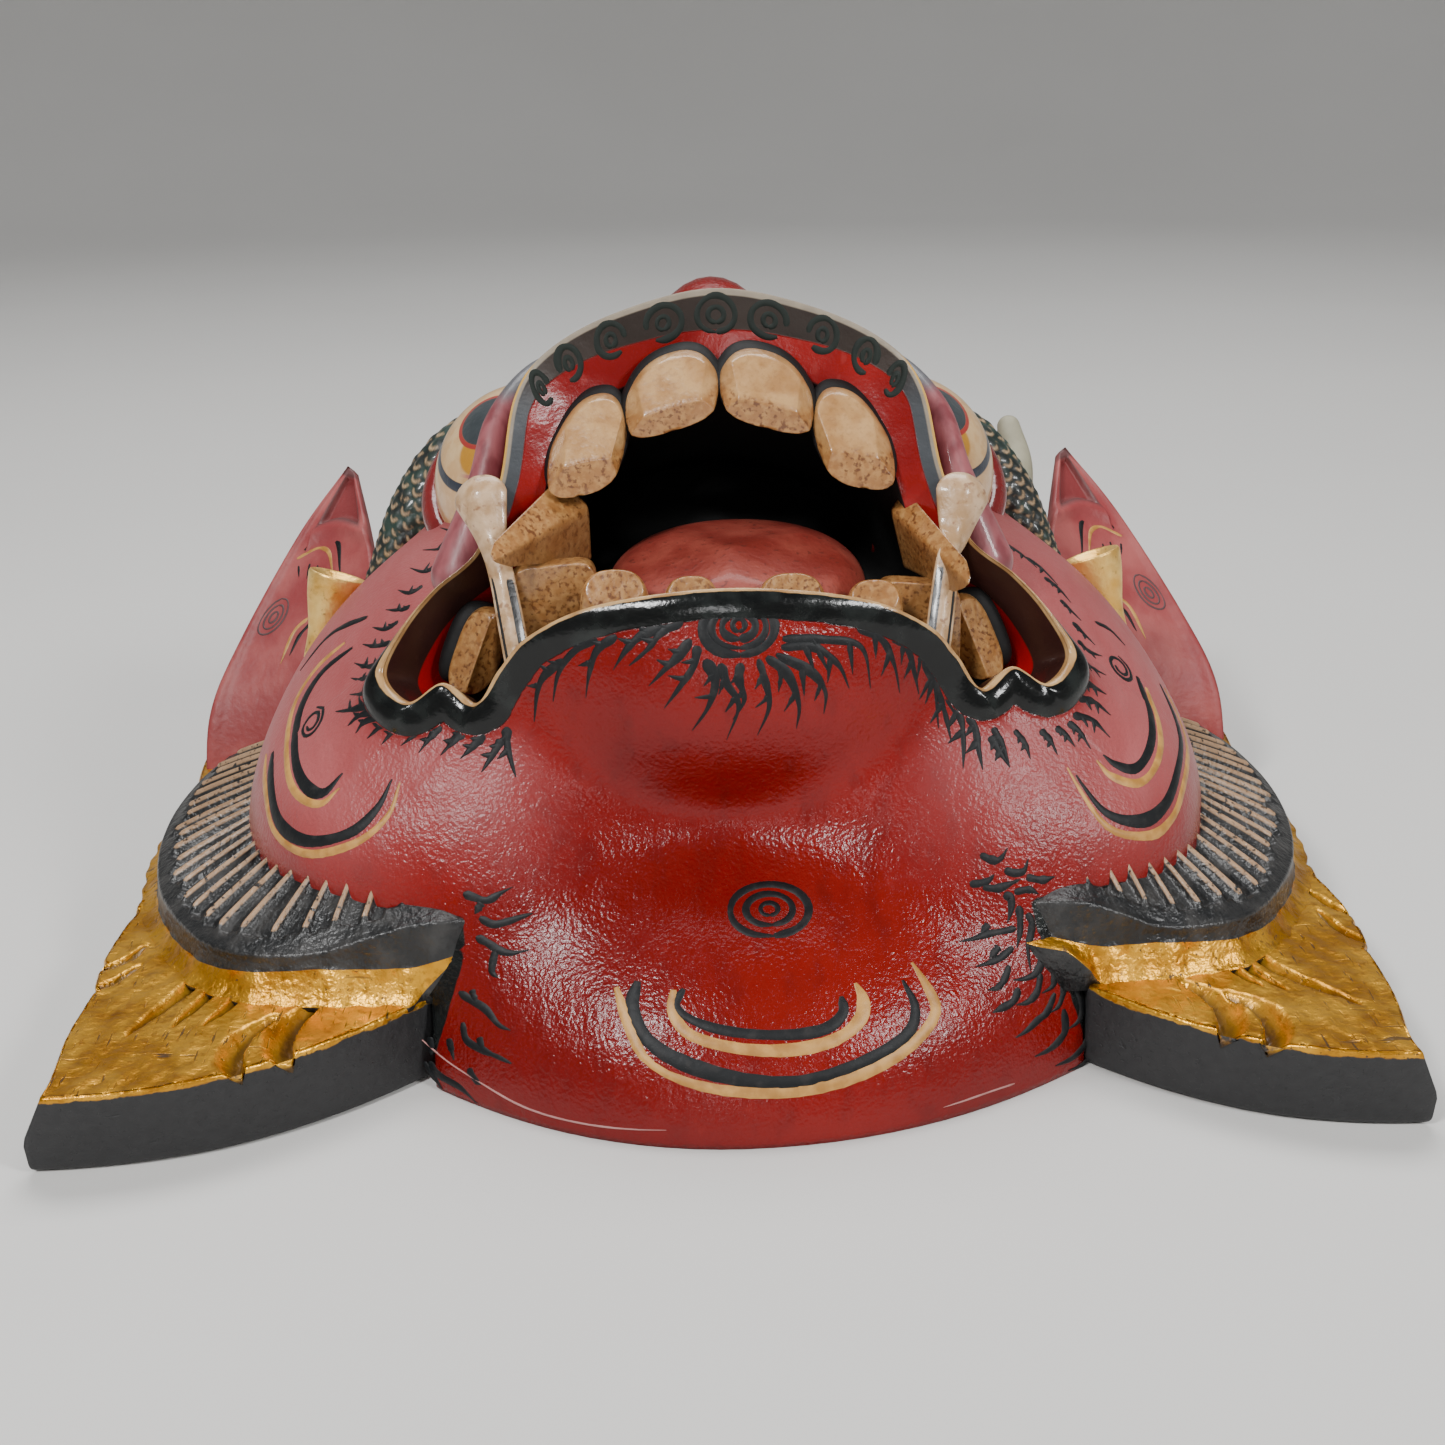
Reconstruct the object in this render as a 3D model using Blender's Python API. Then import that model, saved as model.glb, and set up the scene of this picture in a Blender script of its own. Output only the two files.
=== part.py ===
"""A carved and painted guardian mask lying on its back, glued up from three pieces of wood.

Metres, +Z out of the face, +Y from the chin to the crown. The origin is under the middle of the mask.
The middle block is the head: face, open mouth with teeth, fans, brows, ears and crest. A leaf-shaped
board is glued to each side of it, under the fan and the ear.
"""

import bmesh
import bpy
import numpy as np

# Overall sizes of the carving
FACE_WIDTH = 0.262
FACE_LENGTH = 0.316
FACE_HEIGHT = 0.178
# Side boards. Low on the right the throat and its glue seam stand SEAM_SHIFT farther out than on the left,
# and each board's near edge rises to the seam by its own NEAR_EDGE_RISE.
BOARD_THICK = 0.022
BOARD_SPREAD = 0.163
SEAM_HALF_WIDTH = 0.074
SEAM_SHIFT = 0.010
NEAR_EDGE_RISE = {-1: 0.043, 1: 0.037}
LEAF_REACH = 0.005
GOUGE_WIDTH = 0.0045
GOUGE_DEPTH = 0.004
CLEARANCE = 0.0003
# Fans that stand on the boards
FAN_RISE = 0.009
RIB_HEIGHT = 0.0016
RIB_COUNT = 25
CREST_LEAVES = 5
# Ears, brows and teeth
EAR_THICK = 0.007
BROW_RADIUS = 0.009
TOOTH_THICK = 0.020
TUSK_RADIUS = 0.0068
EYE_RADIUS = 0.0285
# Wood left round the hollow: beside the glue seams, at each end and in front of it
SIDE_WALL = 0.008
END_WALL = 0.063
FRONT_WALL = 0.046

# The carving is drawn in millimetres at this size, chin end at y = 0, and stretched to the sizes above
DRAWN = np.array((0.262, 0.316, 0.178))
STRETCH = np.array((FACE_WIDTH, FACE_LENGTH, FACE_HEIGHT)) / DRAWN
# The rays that find the carved surface start here, on the back plane
HEART = np.array((0.0, 130.0, 0.0))
MOUTH_AXIS = np.array((0.0, -42.0, 134.0))
# Drawn x of the side of the cheek, of the glue seam and of the outer edge of the board
CHEEK_SIDE = 90.0
DRAWN_SEAM = 74.0
DRAWN_SPREAD = 163.0

# Rounded masses of the face: centre and radii in drawn millimetres, each with its mirror where x > 0
FACE_MASSES = (
    ((52, 142, 20), (80, 105, 92)),      # cheek
    ((88, 104, 44), (34, 50, 30)),       # puffed lower end of the cheek
    ((0, 118, 0), (104, 118, 61)),       # throat
    ((0, 92, 88), (56, 47, 35)),         # chin
    ((0, 134, 98), (57, 38, 69)),        # muzzle over the upper teeth
    ((0, 168, 147), (18, 19, 26)),       # tip of the nose
    ((21, 174, 131), (13, 15, 14)),      # wing of the nose
    ((0, 210, 100), (15, 46, 32)),       # bridge of the nose
    ((50, 176, 84), (32, 34, 34)),       # mound that carries the eye
    ((0, 208, 30), (102, 76, 84)),       # forehead
)
MASS_BLEND = 7.0

# Ridge of the lips, from the top of the arch down round the corner to the middle of the lower lip
LIP_RIDGE = (
    (0, 116, 178), (26, 112, 173), (43, 106, 165), (51, 99, 155), (55, 92, 136), (61, 85, 120),
    (72, 81, 111), (80, 78, 102), (85, 74, 92), (78, 67, 87), (69, 66, 92), (61, 62, 88),
    (55, 60, 97), (47, 58, 106), (30, 55, 114), (0, 52, 118),
)
# Where the teeth and gums stand, point for point inside the ridge
GUM_LINE = (
    (0, 113, 158), (22, 110, 155), (35, 104, 148), (41, 99, 141), (45, 94, 128), (50, 95, 113),
    (60, 97, 98), (65, 96, 90), (68, 92, 80), (64, 85, 77), (58, 81, 78), (52, 78, 79),
    (45, 76, 86), (38, 72, 96), (24, 68, 104), (0, 65, 107),
)
# Way from the mouth into the hollow: an upright ellipse
THROAT_WAY = ((0, 152, 106), (36, 19))

RED = (0.42, 0.035, 0.03)
GOLD = (0.62, 0.40, 0.10)


def clear_scene():
    for item in list(bpy.data.objects):
        bpy.data.objects.remove(item)


def material(name, colour, roughness, metallic=0.0):
    finish = bpy.data.materials.new(name)
    finish.use_nodes = True
    shader = finish.node_tree.nodes["Principled BSDF"]
    shader.inputs["Base Color"].default_value = (*colour, 1.0)
    shader.inputs["Roughness"].default_value = roughness
    shader.inputs["Metallic"].default_value = metallic
    return finish


def mesh_object(name, points, faces):
    """An object from points in metres, with its faces turned outwards."""
    mesh = bpy.data.meshes.new(name)
    mesh.from_pydata([tuple(map(float, p)) for p in points], [], [tuple(map(int, f)) for f in faces])
    work = bmesh.new()
    work.from_mesh(mesh)
    bmesh.ops.triangulate(work, faces=[f for f in work.faces if len(f.verts) > 4])
    bmesh.ops.recalc_face_normals(work, faces=work.faces)
    work.to_mesh(mesh)
    work.free()
    item = bpy.data.objects.new(name, mesh)
    bpy.context.scene.collection.objects.link(item)
    return item


def placed(drawn):
    """Drawn millimetres to metres at the sizes set above."""
    return np.asarray(drawn, float) * STRETCH * 0.001


def over_board(x):
    """Drawn x of what stands on a board: past the side of the cheek it follows the board's outer edge."""
    spread = (1000 * BOARD_SPREAD / STRETCH[0] - CHEEK_SIDE) / (DRAWN_SPREAD - CHEEK_SIDE)
    return np.where(x > CHEEK_SIDE, CHEEK_SIDE + (x - CHEEK_SIDE) * spread, x)


def leaned(points):
    """Drawn points of the block: the right side of the throat is carved wider than the left."""
    side = np.clip(points[..., 0] / DRAWN_SEAM, 0, 1)
    low = np.clip((65 - points[..., 2]) / 40, 0, 1) * np.clip((85 - points[..., 1]) / 40, 0, 1)
    shift = 1000 * SEAM_SHIFT / STRETCH[0] * side * low
    return points + np.stack([shift, 0 * shift, 0 * shift], -1)


def seam_at(side):
    """Distance from the middle to the glue seam, which stands farther out on the right."""
    return SEAM_HALF_WIDTH + (SEAM_SHIFT if side > 0 else 0)


def mirrored(places):
    """The points and, for those off the centre line, their mirror images."""
    for place, size in places:
        for side in (1, -1) if place[0] else (1,):
            yield np.array((side * place[0], *place[1:]), float), np.array(size, float)


def mass_depth(points):
    """Signed distance, negative inside, to the rounded masses melted together."""
    total = 0.0
    for centre, radii in mirrored(FACE_MASSES):
        out = (points - centre) / radii
        size = np.linalg.norm(out, axis=-1)
        slope = np.linalg.norm(out / radii, axis=-1)
        total = total + np.exp(-size * (size - 1) / slope / MASS_BLEND)
    return -MASS_BLEND * np.log(total)


def reach(directions):
    """Distance from HEART to the outermost crossing of the surface along each unit direction."""
    steps = np.linspace(235, 25, 43)
    outside = [mass_depth(HEART + directions * step) > 0 for step in steps]
    first = np.argmin(np.array(outside), axis=0)
    near, far = steps[first], steps[first - 1]
    for _ in range(14):
        middle = (near + far) / 2
        out = mass_depth(HEART + directions * middle[..., None]) > 0
        near, far = np.where(out, near, middle), np.where(out, middle, far)
    return near


def closed_curve(half_points, count):
    """A smooth closed loop through the points and their mirror images, as count points.

    It is a Catmull-Rom curve, run round once from the first point through +x.
    """
    half = np.array(half_points, float)
    loop = np.vstack([half, half[-2:0:-1] * (-1, 1, 1)])
    place = np.arange(count) * len(loop) / count
    index = place.astype(int)
    t = (place - index)[:, None]
    a, b, c, d = (loop[(index + k) % len(loop)] for k in (-1, 0, 1, 2))
    return b + t / 2 * (c - a + t * (2 * a - 5 * b + 4 * c - d + t * (3 * (b - c) + d - a)))


def open_curve(points, count):
    """The same smooth curve, but open, from the first point to the last."""
    line = np.array(points, float)
    line = np.vstack([2 * line[0] - line[1], line, 2 * line[-1] - line[-2]])
    place = np.linspace(0, len(points) - 1, count)
    index = np.minimum(place.astype(int), len(points) - 2)
    t = (place - index)[:, None]
    a, b, c, d = (line[index + k] for k in range(4))
    return b + t / 2 * (c - a + t * (2 * a - 5 * b + 4 * c - d + t * (3 * (b - c) + d - a)))


def unit(vectors):
    return vectors / np.linalg.norm(vectors, axis=-1, keepdims=True)


def ring_faces(rings, count):
    """Quads between following rings of count points each."""
    first = np.arange(count)
    then = (first + 1) % count
    ring = np.arange(rings - 1)[:, None] * count
    return np.stack([ring + first, ring + then, ring + count + then, ring + count + first], 2).reshape(-1, 4)


def closed_loft(name, rings):
    """A closed solid from rings of equal count, each end closed by a fan round its middle."""
    rings = np.asarray(rings)
    levels, count = rings.shape[:2]
    points = np.vstack([rings.reshape(-1, 3), rings[0].mean(0), rings[-1].mean(0)])
    faces = ring_faces(levels, count).tolist()
    start, end, last = levels * count, levels * count + 1, (levels - 1) * count
    faces += [(start, (k + 1) % count, k) for k in range(count)]
    faces += [(end, last + k, last + (k + 1) % count) for k in range(count)]
    return mesh_object(name, points, faces)


def face_rings(count, outer_rows, lip_rows, way_rows):
    """Rings of the face, from the back rim over the face to the lips, then through the mouth.

    Outside, a point is HEART + direction * distance. The direction turns along a great circle from
    the rim to the lip ridge, and the distance is what reach finds, eased to the ridge near it.
    """
    ridge = closed_curve(LIP_RIDGE, count)
    gum = closed_curve(GUM_LINE, count)
    lip_way = unit(ridge - HEART)
    side = np.cross(MOUTH_AXIS, (1.0, 0.0, 0.0))
    angle = np.unwrap(np.arctan2(lip_way @ unit(side), lip_way[:, 0]))
    even = angle[0] + (angle[-1] - angle[0]) * np.arange(count) / (count - 1)
    angle = 0.75 * angle + 0.25 * even
    across = np.cos(angle)[:, None] * (1.0, 0.0, 0.0) + np.sin(angle)[:, None] * unit(side)
    axis = unit(MOUTH_AXIS)
    fall = np.arctan2(axis[2], -across[:, 2])[:, None]
    rim_way = np.cos(fall) * axis + np.sin(fall) * across
    turn = np.arccos(np.clip((lip_way * rim_way).sum(1), -1, 1))[:, None]
    rows = []
    for share in np.linspace(0, 1, outer_rows)[:-1]:
        way = (np.sin((1 - share) * turn) * rim_way + np.sin(share * turn) * lip_way) / np.sin(turn)
        lift = np.linalg.norm(ridge - HEART, axis=1) - reach(lip_way)
        rows.append(HEART + way * (reach(way) + lift * share ** 7)[:, None])
    rows.append(ridge)
    inward = unit(gum - ridge) + unit(HEART - ridge)
    middle = (ridge + gum) / 2 + inward * 2.0
    for share in np.linspace(0, 1, lip_rows + 1)[1:]:
        rows.append((1 - share) ** 2 * ridge + 2 * share * (1 - share) * middle + share**2 * gum)
    (_, way_y, way_z), (way_wide, way_high) = THROAT_WAY
    spin = np.arctan2(gum[:, 2] - way_z, gum[:, 0])
    end = np.stack([way_wide * np.cos(spin), np.full(count, way_y), way_z + way_high * np.sin(spin)], 1)
    for share in np.linspace(0, 1, way_rows + 1)[1:]:
        rows.append((1 - share) * gum + share * end)
    return np.array(rows)


def face_block():
    """The bare face, closed flat at the back and closed at the far end of the mouth."""
    rings = leaned(face_rings(68, 14, 3, 2))
    rings[0, :, 2] = 0
    return closed_loft("head", placed(rings))


def rounded(name, centre, axes, around=8, levels=6, squareness=0.8):
    """A rounded lump with three axis vectors: an ellipsoid, boxier as squareness falls below 1."""
    def power(value):
        return np.sign(value) * np.abs(value) ** squareness

    lift = np.linspace(-np.pi / 2, np.pi / 2, levels + 2)[1:-1, None, None]
    spin = np.linspace(0, 2 * np.pi, around, endpoint=False)[None, :, None]
    axes = np.array(axes, float)
    rings = (power(np.cos(lift)) * (power(np.cos(spin)) * axes[0] + power(np.sin(spin)) * axes[1])
             + power(np.sin(lift)) * axes[2] + np.array(centre, float))
    return closed_loft(name, placed(rings))


def horn(name, path, radii, count=8, around=8, flat=1.0):
    """A tapered round bar along a smooth path, radii given at the path's own points."""
    line = open_curve(path, count)
    size = np.interp(np.linspace(0, 1, count), np.linspace(0, 1, len(radii)), radii)
    along = unit(np.gradient(line, axis=0))
    side = unit(np.cross(along, (0.0, 1.0, 0.35)))
    up = np.cross(side, along)
    spin = np.linspace(0, 2 * np.pi, around, endpoint=False)
    rings = [
        point + size[k] * (np.outer(np.cos(spin), side[k]) + flat * np.outer(np.sin(spin), up[k]))
        for k, point in enumerate(line)
    ]
    return closed_loft(name, placed(rings))


def closed_tube(name, line, radius, around):
    """A round ring: a circle carried once round a closed line."""
    along = unit(np.roll(line, -1, 0) - np.roll(line, 1, 0))
    outward = unit(line - line.mean(0))
    up = np.cross(along, outward)
    spin = np.linspace(0, 2 * np.pi, around, endpoint=False)[None, :, None]
    rings = line[:, None] + radius * (np.cos(spin) * outward[:, None] + np.sin(spin) * up[:, None])
    faces = ring_faces(len(line) + 1, around) % (len(line) * around)
    return mesh_object(name, placed(rings).reshape(-1, 3), faces)


def upper_teeth(side):
    """Two broad front teeth of one side, wedges that hang from the gum and flare forwards."""
    thick = TOOTH_THICK * 500
    yield rounded("front_tooth", (side * 12, 105, 155), ((11.8, 0, -side * 1.2), (0, thick, 3), (0, 2, 8)),
                  squareness=0.6)
    yield rounded("side_tooth", (side * 33, 100, 146), ((8.4, 0, -side * 3.6), (0, thick, 3),
                                                         (side * 1.5, 2.5, 9)), squareness=0.6)


def corner_teeth(side):
    """Fang that points out of the mouth corner, tusk that curls up past it, and lower side tooth."""
    yield horn("fang", [(side * x, y, z) for x, y, z in ((37, 97, 129), (47, 88, 123.5), (57, 76, 117))],
               (8.5, 7, 1.6), flat=0.85)
    radius = TUSK_RADIUS * 1000
    tusk = ((50, 70, 88), (54.5, 79, 112), (58, 83, 125), (61.5, 85, 135))
    yield horn("tusk", [(side * x, y, z) for x, y, z in tusk], (0.4 * radius, 0.5 * radius, radius, 0.7 * radius))
    yield rounded("lower_side_tooth", (side * 40, 80, 107), ((8, 0, 0), (0, 7, 0), (0, 0, 9)),
                  squareness=0.6)


def lower_teeth():
    for x in (-30, -11.5, 11.5, 30):
        yield rounded("lower_tooth", (x, 67 + 0.004 * x * x, 107), ((7, 0, 0), (0, 4.5, 0), (0, 0, 9.5)),
                      squareness=0.7)


def eye(side):
    """Bulging eyeball in a rolled ring of lid, with the fold between nose and cheek beside it."""
    radius = EYE_RADIUS * 1000
    centre = np.array((51.0, 164.0, 118.0))
    yield rounded("eyeball", centre * (side, 1, 1), np.eye(3) * radius, 12, 7, 1.0)
    facing = unit(np.array((0.3, -0.55, 0.78)))
    across = unit(np.cross((0.0, 1.0, 0.0), facing))
    up = np.cross(facing, across)
    spin = np.linspace(0, 2 * np.pi, 15)[:, None]
    lid = centre + 3 * facing + (radius + 1) * (np.cos(spin) * across + np.sin(spin) * up)
    yield closed_tube("eyelid", lid[:-1] * (side, 1, 1), 4.5, 6)
    fold = ((66, 98, 112), (60, 104, 132), (55, 114, 147), (44, 128, 156), (30, 146, 156))
    yield horn("fold", [(side * x, y, z) for x, y, z in fold], (8, 4.6, 3.8, 3.2, 2.4), 9, 6)


def brow(side):
    radius = BROW_RADIUS * 1000
    path = ((12, 198, 120), (42, 201, 127), (70, 194, 123), (86, 190, 107), (100, 184, 82))
    yield horn("brow", [(side * x, y, z) for x, y, z in path],
               (0.6 * radius, radius, radius, radius, 0.6 * radius), 10, 8)


def ear(side):
    """Pointed ear: a hollowed plate that leans from the board to its tip, with a round plug below."""
    count = 7
    share = np.linspace(0, 1, count)[:, None]
    outer_edge = ((161, 193, 14), (159, 202, 38), (150, 215, 58), (132, 236, 87), (117, 250, 105))
    inner_edge = ((104, 176, 40), (104, 192, 66), (108, 216, 88), (115.5, 248, 104))
    outer, inner = open_curve(outer_edge, count), open_curve(inner_edge, count)
    for line in (outer, inner):
        line[:, 0] = over_board(line[:, 0])
    facing = unit(np.cross(outer[0] - inner[0], inner[-1] - inner[0]))
    thick = EAR_THICK * 1000 * (1 - 0.6 * share)
    middle = (outer + inner) / 2 - 5 * facing * (1 - share)
    front = [inner, middle, outer]
    back = [outer - thick * facing, middle - thick * facing, inner - thick * facing]
    rings = np.stack(front + back, 1) * (side, 1, 1)
    yield closed_loft("ear", placed(rings))
    yield rounded("ear_plug", (side * 112, 171, 78), ((8.5, 0, 0), (0, 8, 0), (-side * 3, 1, 14)), 10, 6, 0.8)


def fan(side):
    """Ribbed fan round the cheek: a crescent that stands on the board and rises to the cheek."""
    columns = 2 * RIB_COUNT + 1
    angle = np.radians(np.linspace(-132, 28, columns))
    out_x, out_y = 100 + 56 * np.cos(angle), 135 + 99 * np.sin(angle)
    in_x, in_y = 90 + 34 * np.cos(angle), 130 + 74 * np.sin(angle)
    rib = 1000 * RIB_HEIGHT * (np.arange(columns) % 2)
    top_out = 1000 * (BOARD_THICK + FAN_RISE) / STRETCH[2] + rib
    floor = np.full(columns, 1000 * (BOARD_THICK - 0.004) / STRETCH[2])

    def edge(x, y, z):
        return np.stack([side * over_board(x), y, z], 1)

    mid_x, mid_y = (out_x + in_x) / 2, (out_y + in_y) / 2
    rings = np.stack([
        edge(in_x, in_y, floor), edge(out_x, out_y, floor), edge(out_x, out_y, top_out),
        edge(mid_x, mid_y, top_out + 8), edge(in_x, in_y, top_out + 15),
    ], 1)
    yield closed_loft("fan", placed(rings))


def crest():
    """Row of five pointed leaves along the crown, lying flat with the boards."""
    columns = 8 * CREST_LEAVES + 1
    angle = np.radians(np.linspace(-46, 46, columns))
    leaf = 1 - np.abs((np.linspace(0, CREST_LEAVES, columns) % 1) * 2 - 1)
    radius = 158 + 30 * leaf**0.6
    out_x, out_y = 0.62 * radius * np.sin(angle), 130 + radius * np.cos(angle)
    in_x, in_y = 84 * np.sin(angle), 130 + 104 * np.cos(angle)
    high = np.full(columns, 1000 * BOARD_THICK / STRETCH[2])
    rings = np.stack([np.stack(p, 1) for p in (
        (in_x, in_y, 0 * high), (out_x, out_y, 0 * high), (out_x, out_y, high),
        (in_x, in_y, high + 22))], 1)
    yield closed_loft("crest", placed(rings))


def board_outline(side, grow):
    """Plan of one board in metres, as if on the right, grown by a gap: near edge, outer edge, far end."""
    seam = seam_at(side)
    near_x = np.linspace(seam, BOARD_SPREAD - 0.010, 10)
    share = (near_x[-1] - near_x) / (near_x[-1] - near_x[0])
    near_y = -LEAF_REACH + NEAR_EDGE_RISE[side] * share**2.2
    out_y = np.linspace(0.010, 0.212, 13)
    wave = 0.0016 * np.abs(np.sin(out_y * 70))
    out_x = BOARD_SPREAD - 0.009 + 0.045 * (out_y - out_y[0]) + wave
    turn = np.radians(np.linspace(10, 90, 7))
    far_x = seam + (out_x[-1] - seam) * np.cos(turn)
    far_y = out_y[-1] + 0.055 * np.sin(turn)
    outline = np.vstack([np.stack([near_x, near_y], 1), np.stack([out_x, out_y], 1),
                         np.stack([far_x, far_y], 1), [(seam, far_y[-1])]])
    outline = outline[:-1] * (1, STRETCH[1])
    if not grow:
        return outline
    before, after = np.roll(outline, 1, 0), np.roll(outline, -1, 0)
    along = unit(after - before)
    return outline + grow * np.stack([along[:, 1], -along[:, 0]], 1)


def prism(name, outline, side, low, high, lean=0.0):
    """A plate from a plan outline; lean pulls its lower edge in at the near side."""
    near = np.clip(1 - outline[:, 1] / 0.04, 0, 1)
    lower = outline + np.stack([np.zeros(len(outline)), near * lean], 1)
    rings = [np.column_stack([lower * (side, 1), np.full(len(outline), low)]),
             np.column_stack([outline * (side, 1), np.full(len(outline), high)])]
    levels, count = 2, len(outline)
    faces = ring_faces(levels, count).tolist()
    faces += [tuple(range(count)), tuple(range(count, 2 * count))]
    return mesh_object(name, np.vstack(rings), faces)


def gouges(side):
    """V cuts in the gilded leaf: two short crescents at the near edge, two veins, two outer nicks."""
    cuts = (
        ((106, 33), (110, 22), (106, 2)), ((116, 27), (120, 16), (114, -3)),
        ((126, 56), (132, 38), (144, 21)), ((121, 50), (125, 37), (131, 27)),
        ((149, 60), (154, 51), (166, 42)), ((150, 72), (155, 63), (168, 54)),
    )
    half = GOUGE_WIDTH / 2
    across_board = (BOARD_SPREAD - SEAM_HALF_WIDTH) / (DRAWN_SPREAD - DRAWN_SEAM)
    for number, cut in enumerate(cuts):
        places = [(SEAM_HALF_WIDTH + (x - DRAWN_SEAM) * across_board, 0.001 * y * STRETCH[1], 0)
                  for x, y in cut]
        line = open_curve(places, 7)
        along = unit(np.gradient(line, axis=0))
        across = np.stack([along[:, 1], -along[:, 0], np.zeros(7)], 1)
        deep = np.sin(np.linspace(0.12, 0.75, 7) * np.pi)[:, None]
        top = np.array((0, 0, BOARD_THICK + 0.002))
        root = line + (0, 0, BOARD_THICK) - deep * (0, 0, GOUGE_DEPTH)
        rings = np.stack([line + top + across * half * 1.5 * deep, line + top - across * half * 1.5 * deep,
                          root], 1) * (side, 1, 1)
        yield closed_loft(f"gouge_{number}", rings)


def hollows():
    """The wearer's hollow and the shallower one under the throat, both open at the back."""
    half_sizes = (SEAM_HALF_WIDTH - SIDE_WALL, FACE_LENGTH / 2 - END_WALL, FACE_HEIGHT - FRONT_WALL)
    wide, long, deep = 1000 * np.array(half_sizes) / STRETCH
    yield rounded("hollow", (0, 160, 0), np.diag((wide, long, deep)), 28, 15, 1.0)
    yield rounded("throat_hollow", (0, 96, -6), np.diag((0.85 * wide, 70, 44)), 20, 9, 1.0)


def combine(target, tools, operation):
    """Joins the tools to the target, or cuts them out of it, then drops the tools."""
    group = bpy.data.collections.new("tools")
    for tool in tools:
        bpy.context.scene.collection.objects.unlink(tool)
        group.objects.link(tool)
    bpy.context.scene.collection.children.link(group)
    cut = target.modifiers.new("combine", "BOOLEAN")
    cut.operation = operation
    cut.solver = "EXACT"
    cut.use_self = True
    cut.operand_type = "COLLECTION"
    cut.collection = group
    bpy.context.view_layer.update()
    graph = bpy.context.evaluated_depsgraph_get()
    result = bpy.data.meshes.new_from_object(target.evaluated_get(graph))
    target.modifiers.remove(cut)
    target.data = result
    for tool in list(group.objects):
        bpy.data.objects.remove(tool)
    bpy.data.collections.remove(group)


def clean(item):
    """Melts points closer than a hundredth of a millimetre and makes every face a triangle."""
    work = bmesh.new()
    work.from_mesh(item.data)
    bmesh.ops.remove_doubles(work, verts=work.verts, dist=1e-5)
    bmesh.ops.dissolve_degenerate(work, edges=work.edges, dist=1e-5)
    bmesh.ops.delete(work, geom=[v for v in work.verts if not v.link_faces], context="VERTS")
    bmesh.ops.triangulate(work, faces=work.faces)
    work.to_mesh(item.data)
    work.free()


def head():
    """The middle block with all that is carved on it."""
    block = face_block()
    carved = [*lower_teeth(), *crest()]
    carved.append(rounded("tongue", (0, 99, 106), ((33, 0, 0), (0, 32, 0), (0, 0, 15)), 16, 8, 0.95))
    carved.append(horn("peg", ((90, 197, 98), (95, 214, 108), (94, 224, 119)), (7, 5, 3.5), 6, 8))
    for side in (1, -1):
        carved += [*upper_teeth(side), *corner_teeth(side), *eye(side), *brow(side), *ear(side), *fan(side)]
    combine(block, carved, "UNION")
    cutters = list(hollows())
    for side in (1, -1):
        cutters.append(prism("recess", board_outline(side, CLEARANCE), side, -0.01, BOARD_THICK + CLEARANCE))
    combine(block, cutters, "DIFFERENCE")
    return block


def board(name, side):
    """A glued side board: the gilded leaf, flat below, with gouged veins."""
    plate = prism(name, board_outline(side, 0.0), side, 0.0, BOARD_THICK, 0.005)
    combine(plate, list(gouges(side)), "DIFFERENCE")
    return plate


def stand_over_origin(items):
    """Moves the meshes so that the middle of the box round them is over the origin."""
    points = np.vstack([[v.co for v in item.data.vertices] for item in items])
    low, high = points.min(0), points.max(0)
    shift = (-(low[0] + high[0]) / 2, -(low[1] + high[1]) / 2, -low[2])
    for item in items:
        for vertex in item.data.vertices:
            vertex.co += type(vertex.co)(shift)


clear_scene()
lacquer = material("red_lacquer", RED, 0.3)
leaf_gold = material("leaf_gold", GOLD, 0.35, 0.9)
made = [head(), board("left_board", -1), board("right_board", 1)]
for item, finish in zip(made, (lacquer, leaf_gold, leaf_gold)):
    clean(item)
    item.data.materials.clear()
    item.data.materials.append(finish)
stand_over_origin(made)
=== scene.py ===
"""A carved and painted wooden guardian mask, lying on its back and seen from its chin end.

Places are worked out in drawn millimetres, the chin end at y = 0 and the back at z = 0, as the part's are.
"""

import bmesh
import bpy
import numpy as np
from mathutils import Matrix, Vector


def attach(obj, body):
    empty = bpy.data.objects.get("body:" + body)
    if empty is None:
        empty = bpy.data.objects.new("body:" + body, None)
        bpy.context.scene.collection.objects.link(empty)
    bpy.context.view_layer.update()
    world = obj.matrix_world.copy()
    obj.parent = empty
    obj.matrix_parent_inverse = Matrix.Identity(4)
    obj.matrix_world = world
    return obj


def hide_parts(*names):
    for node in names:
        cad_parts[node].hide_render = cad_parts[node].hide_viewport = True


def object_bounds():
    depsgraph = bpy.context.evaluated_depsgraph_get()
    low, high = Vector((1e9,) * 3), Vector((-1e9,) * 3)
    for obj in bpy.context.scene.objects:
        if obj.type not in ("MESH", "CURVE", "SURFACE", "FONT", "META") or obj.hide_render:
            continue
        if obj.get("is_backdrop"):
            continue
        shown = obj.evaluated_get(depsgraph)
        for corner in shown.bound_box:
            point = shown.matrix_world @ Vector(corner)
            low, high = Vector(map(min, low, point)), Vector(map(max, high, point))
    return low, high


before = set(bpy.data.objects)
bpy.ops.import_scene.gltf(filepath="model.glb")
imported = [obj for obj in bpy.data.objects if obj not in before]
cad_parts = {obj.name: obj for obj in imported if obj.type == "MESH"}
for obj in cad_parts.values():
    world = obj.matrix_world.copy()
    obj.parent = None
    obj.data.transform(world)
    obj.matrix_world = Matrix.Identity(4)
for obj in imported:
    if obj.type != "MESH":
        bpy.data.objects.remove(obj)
cad_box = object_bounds()


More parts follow.
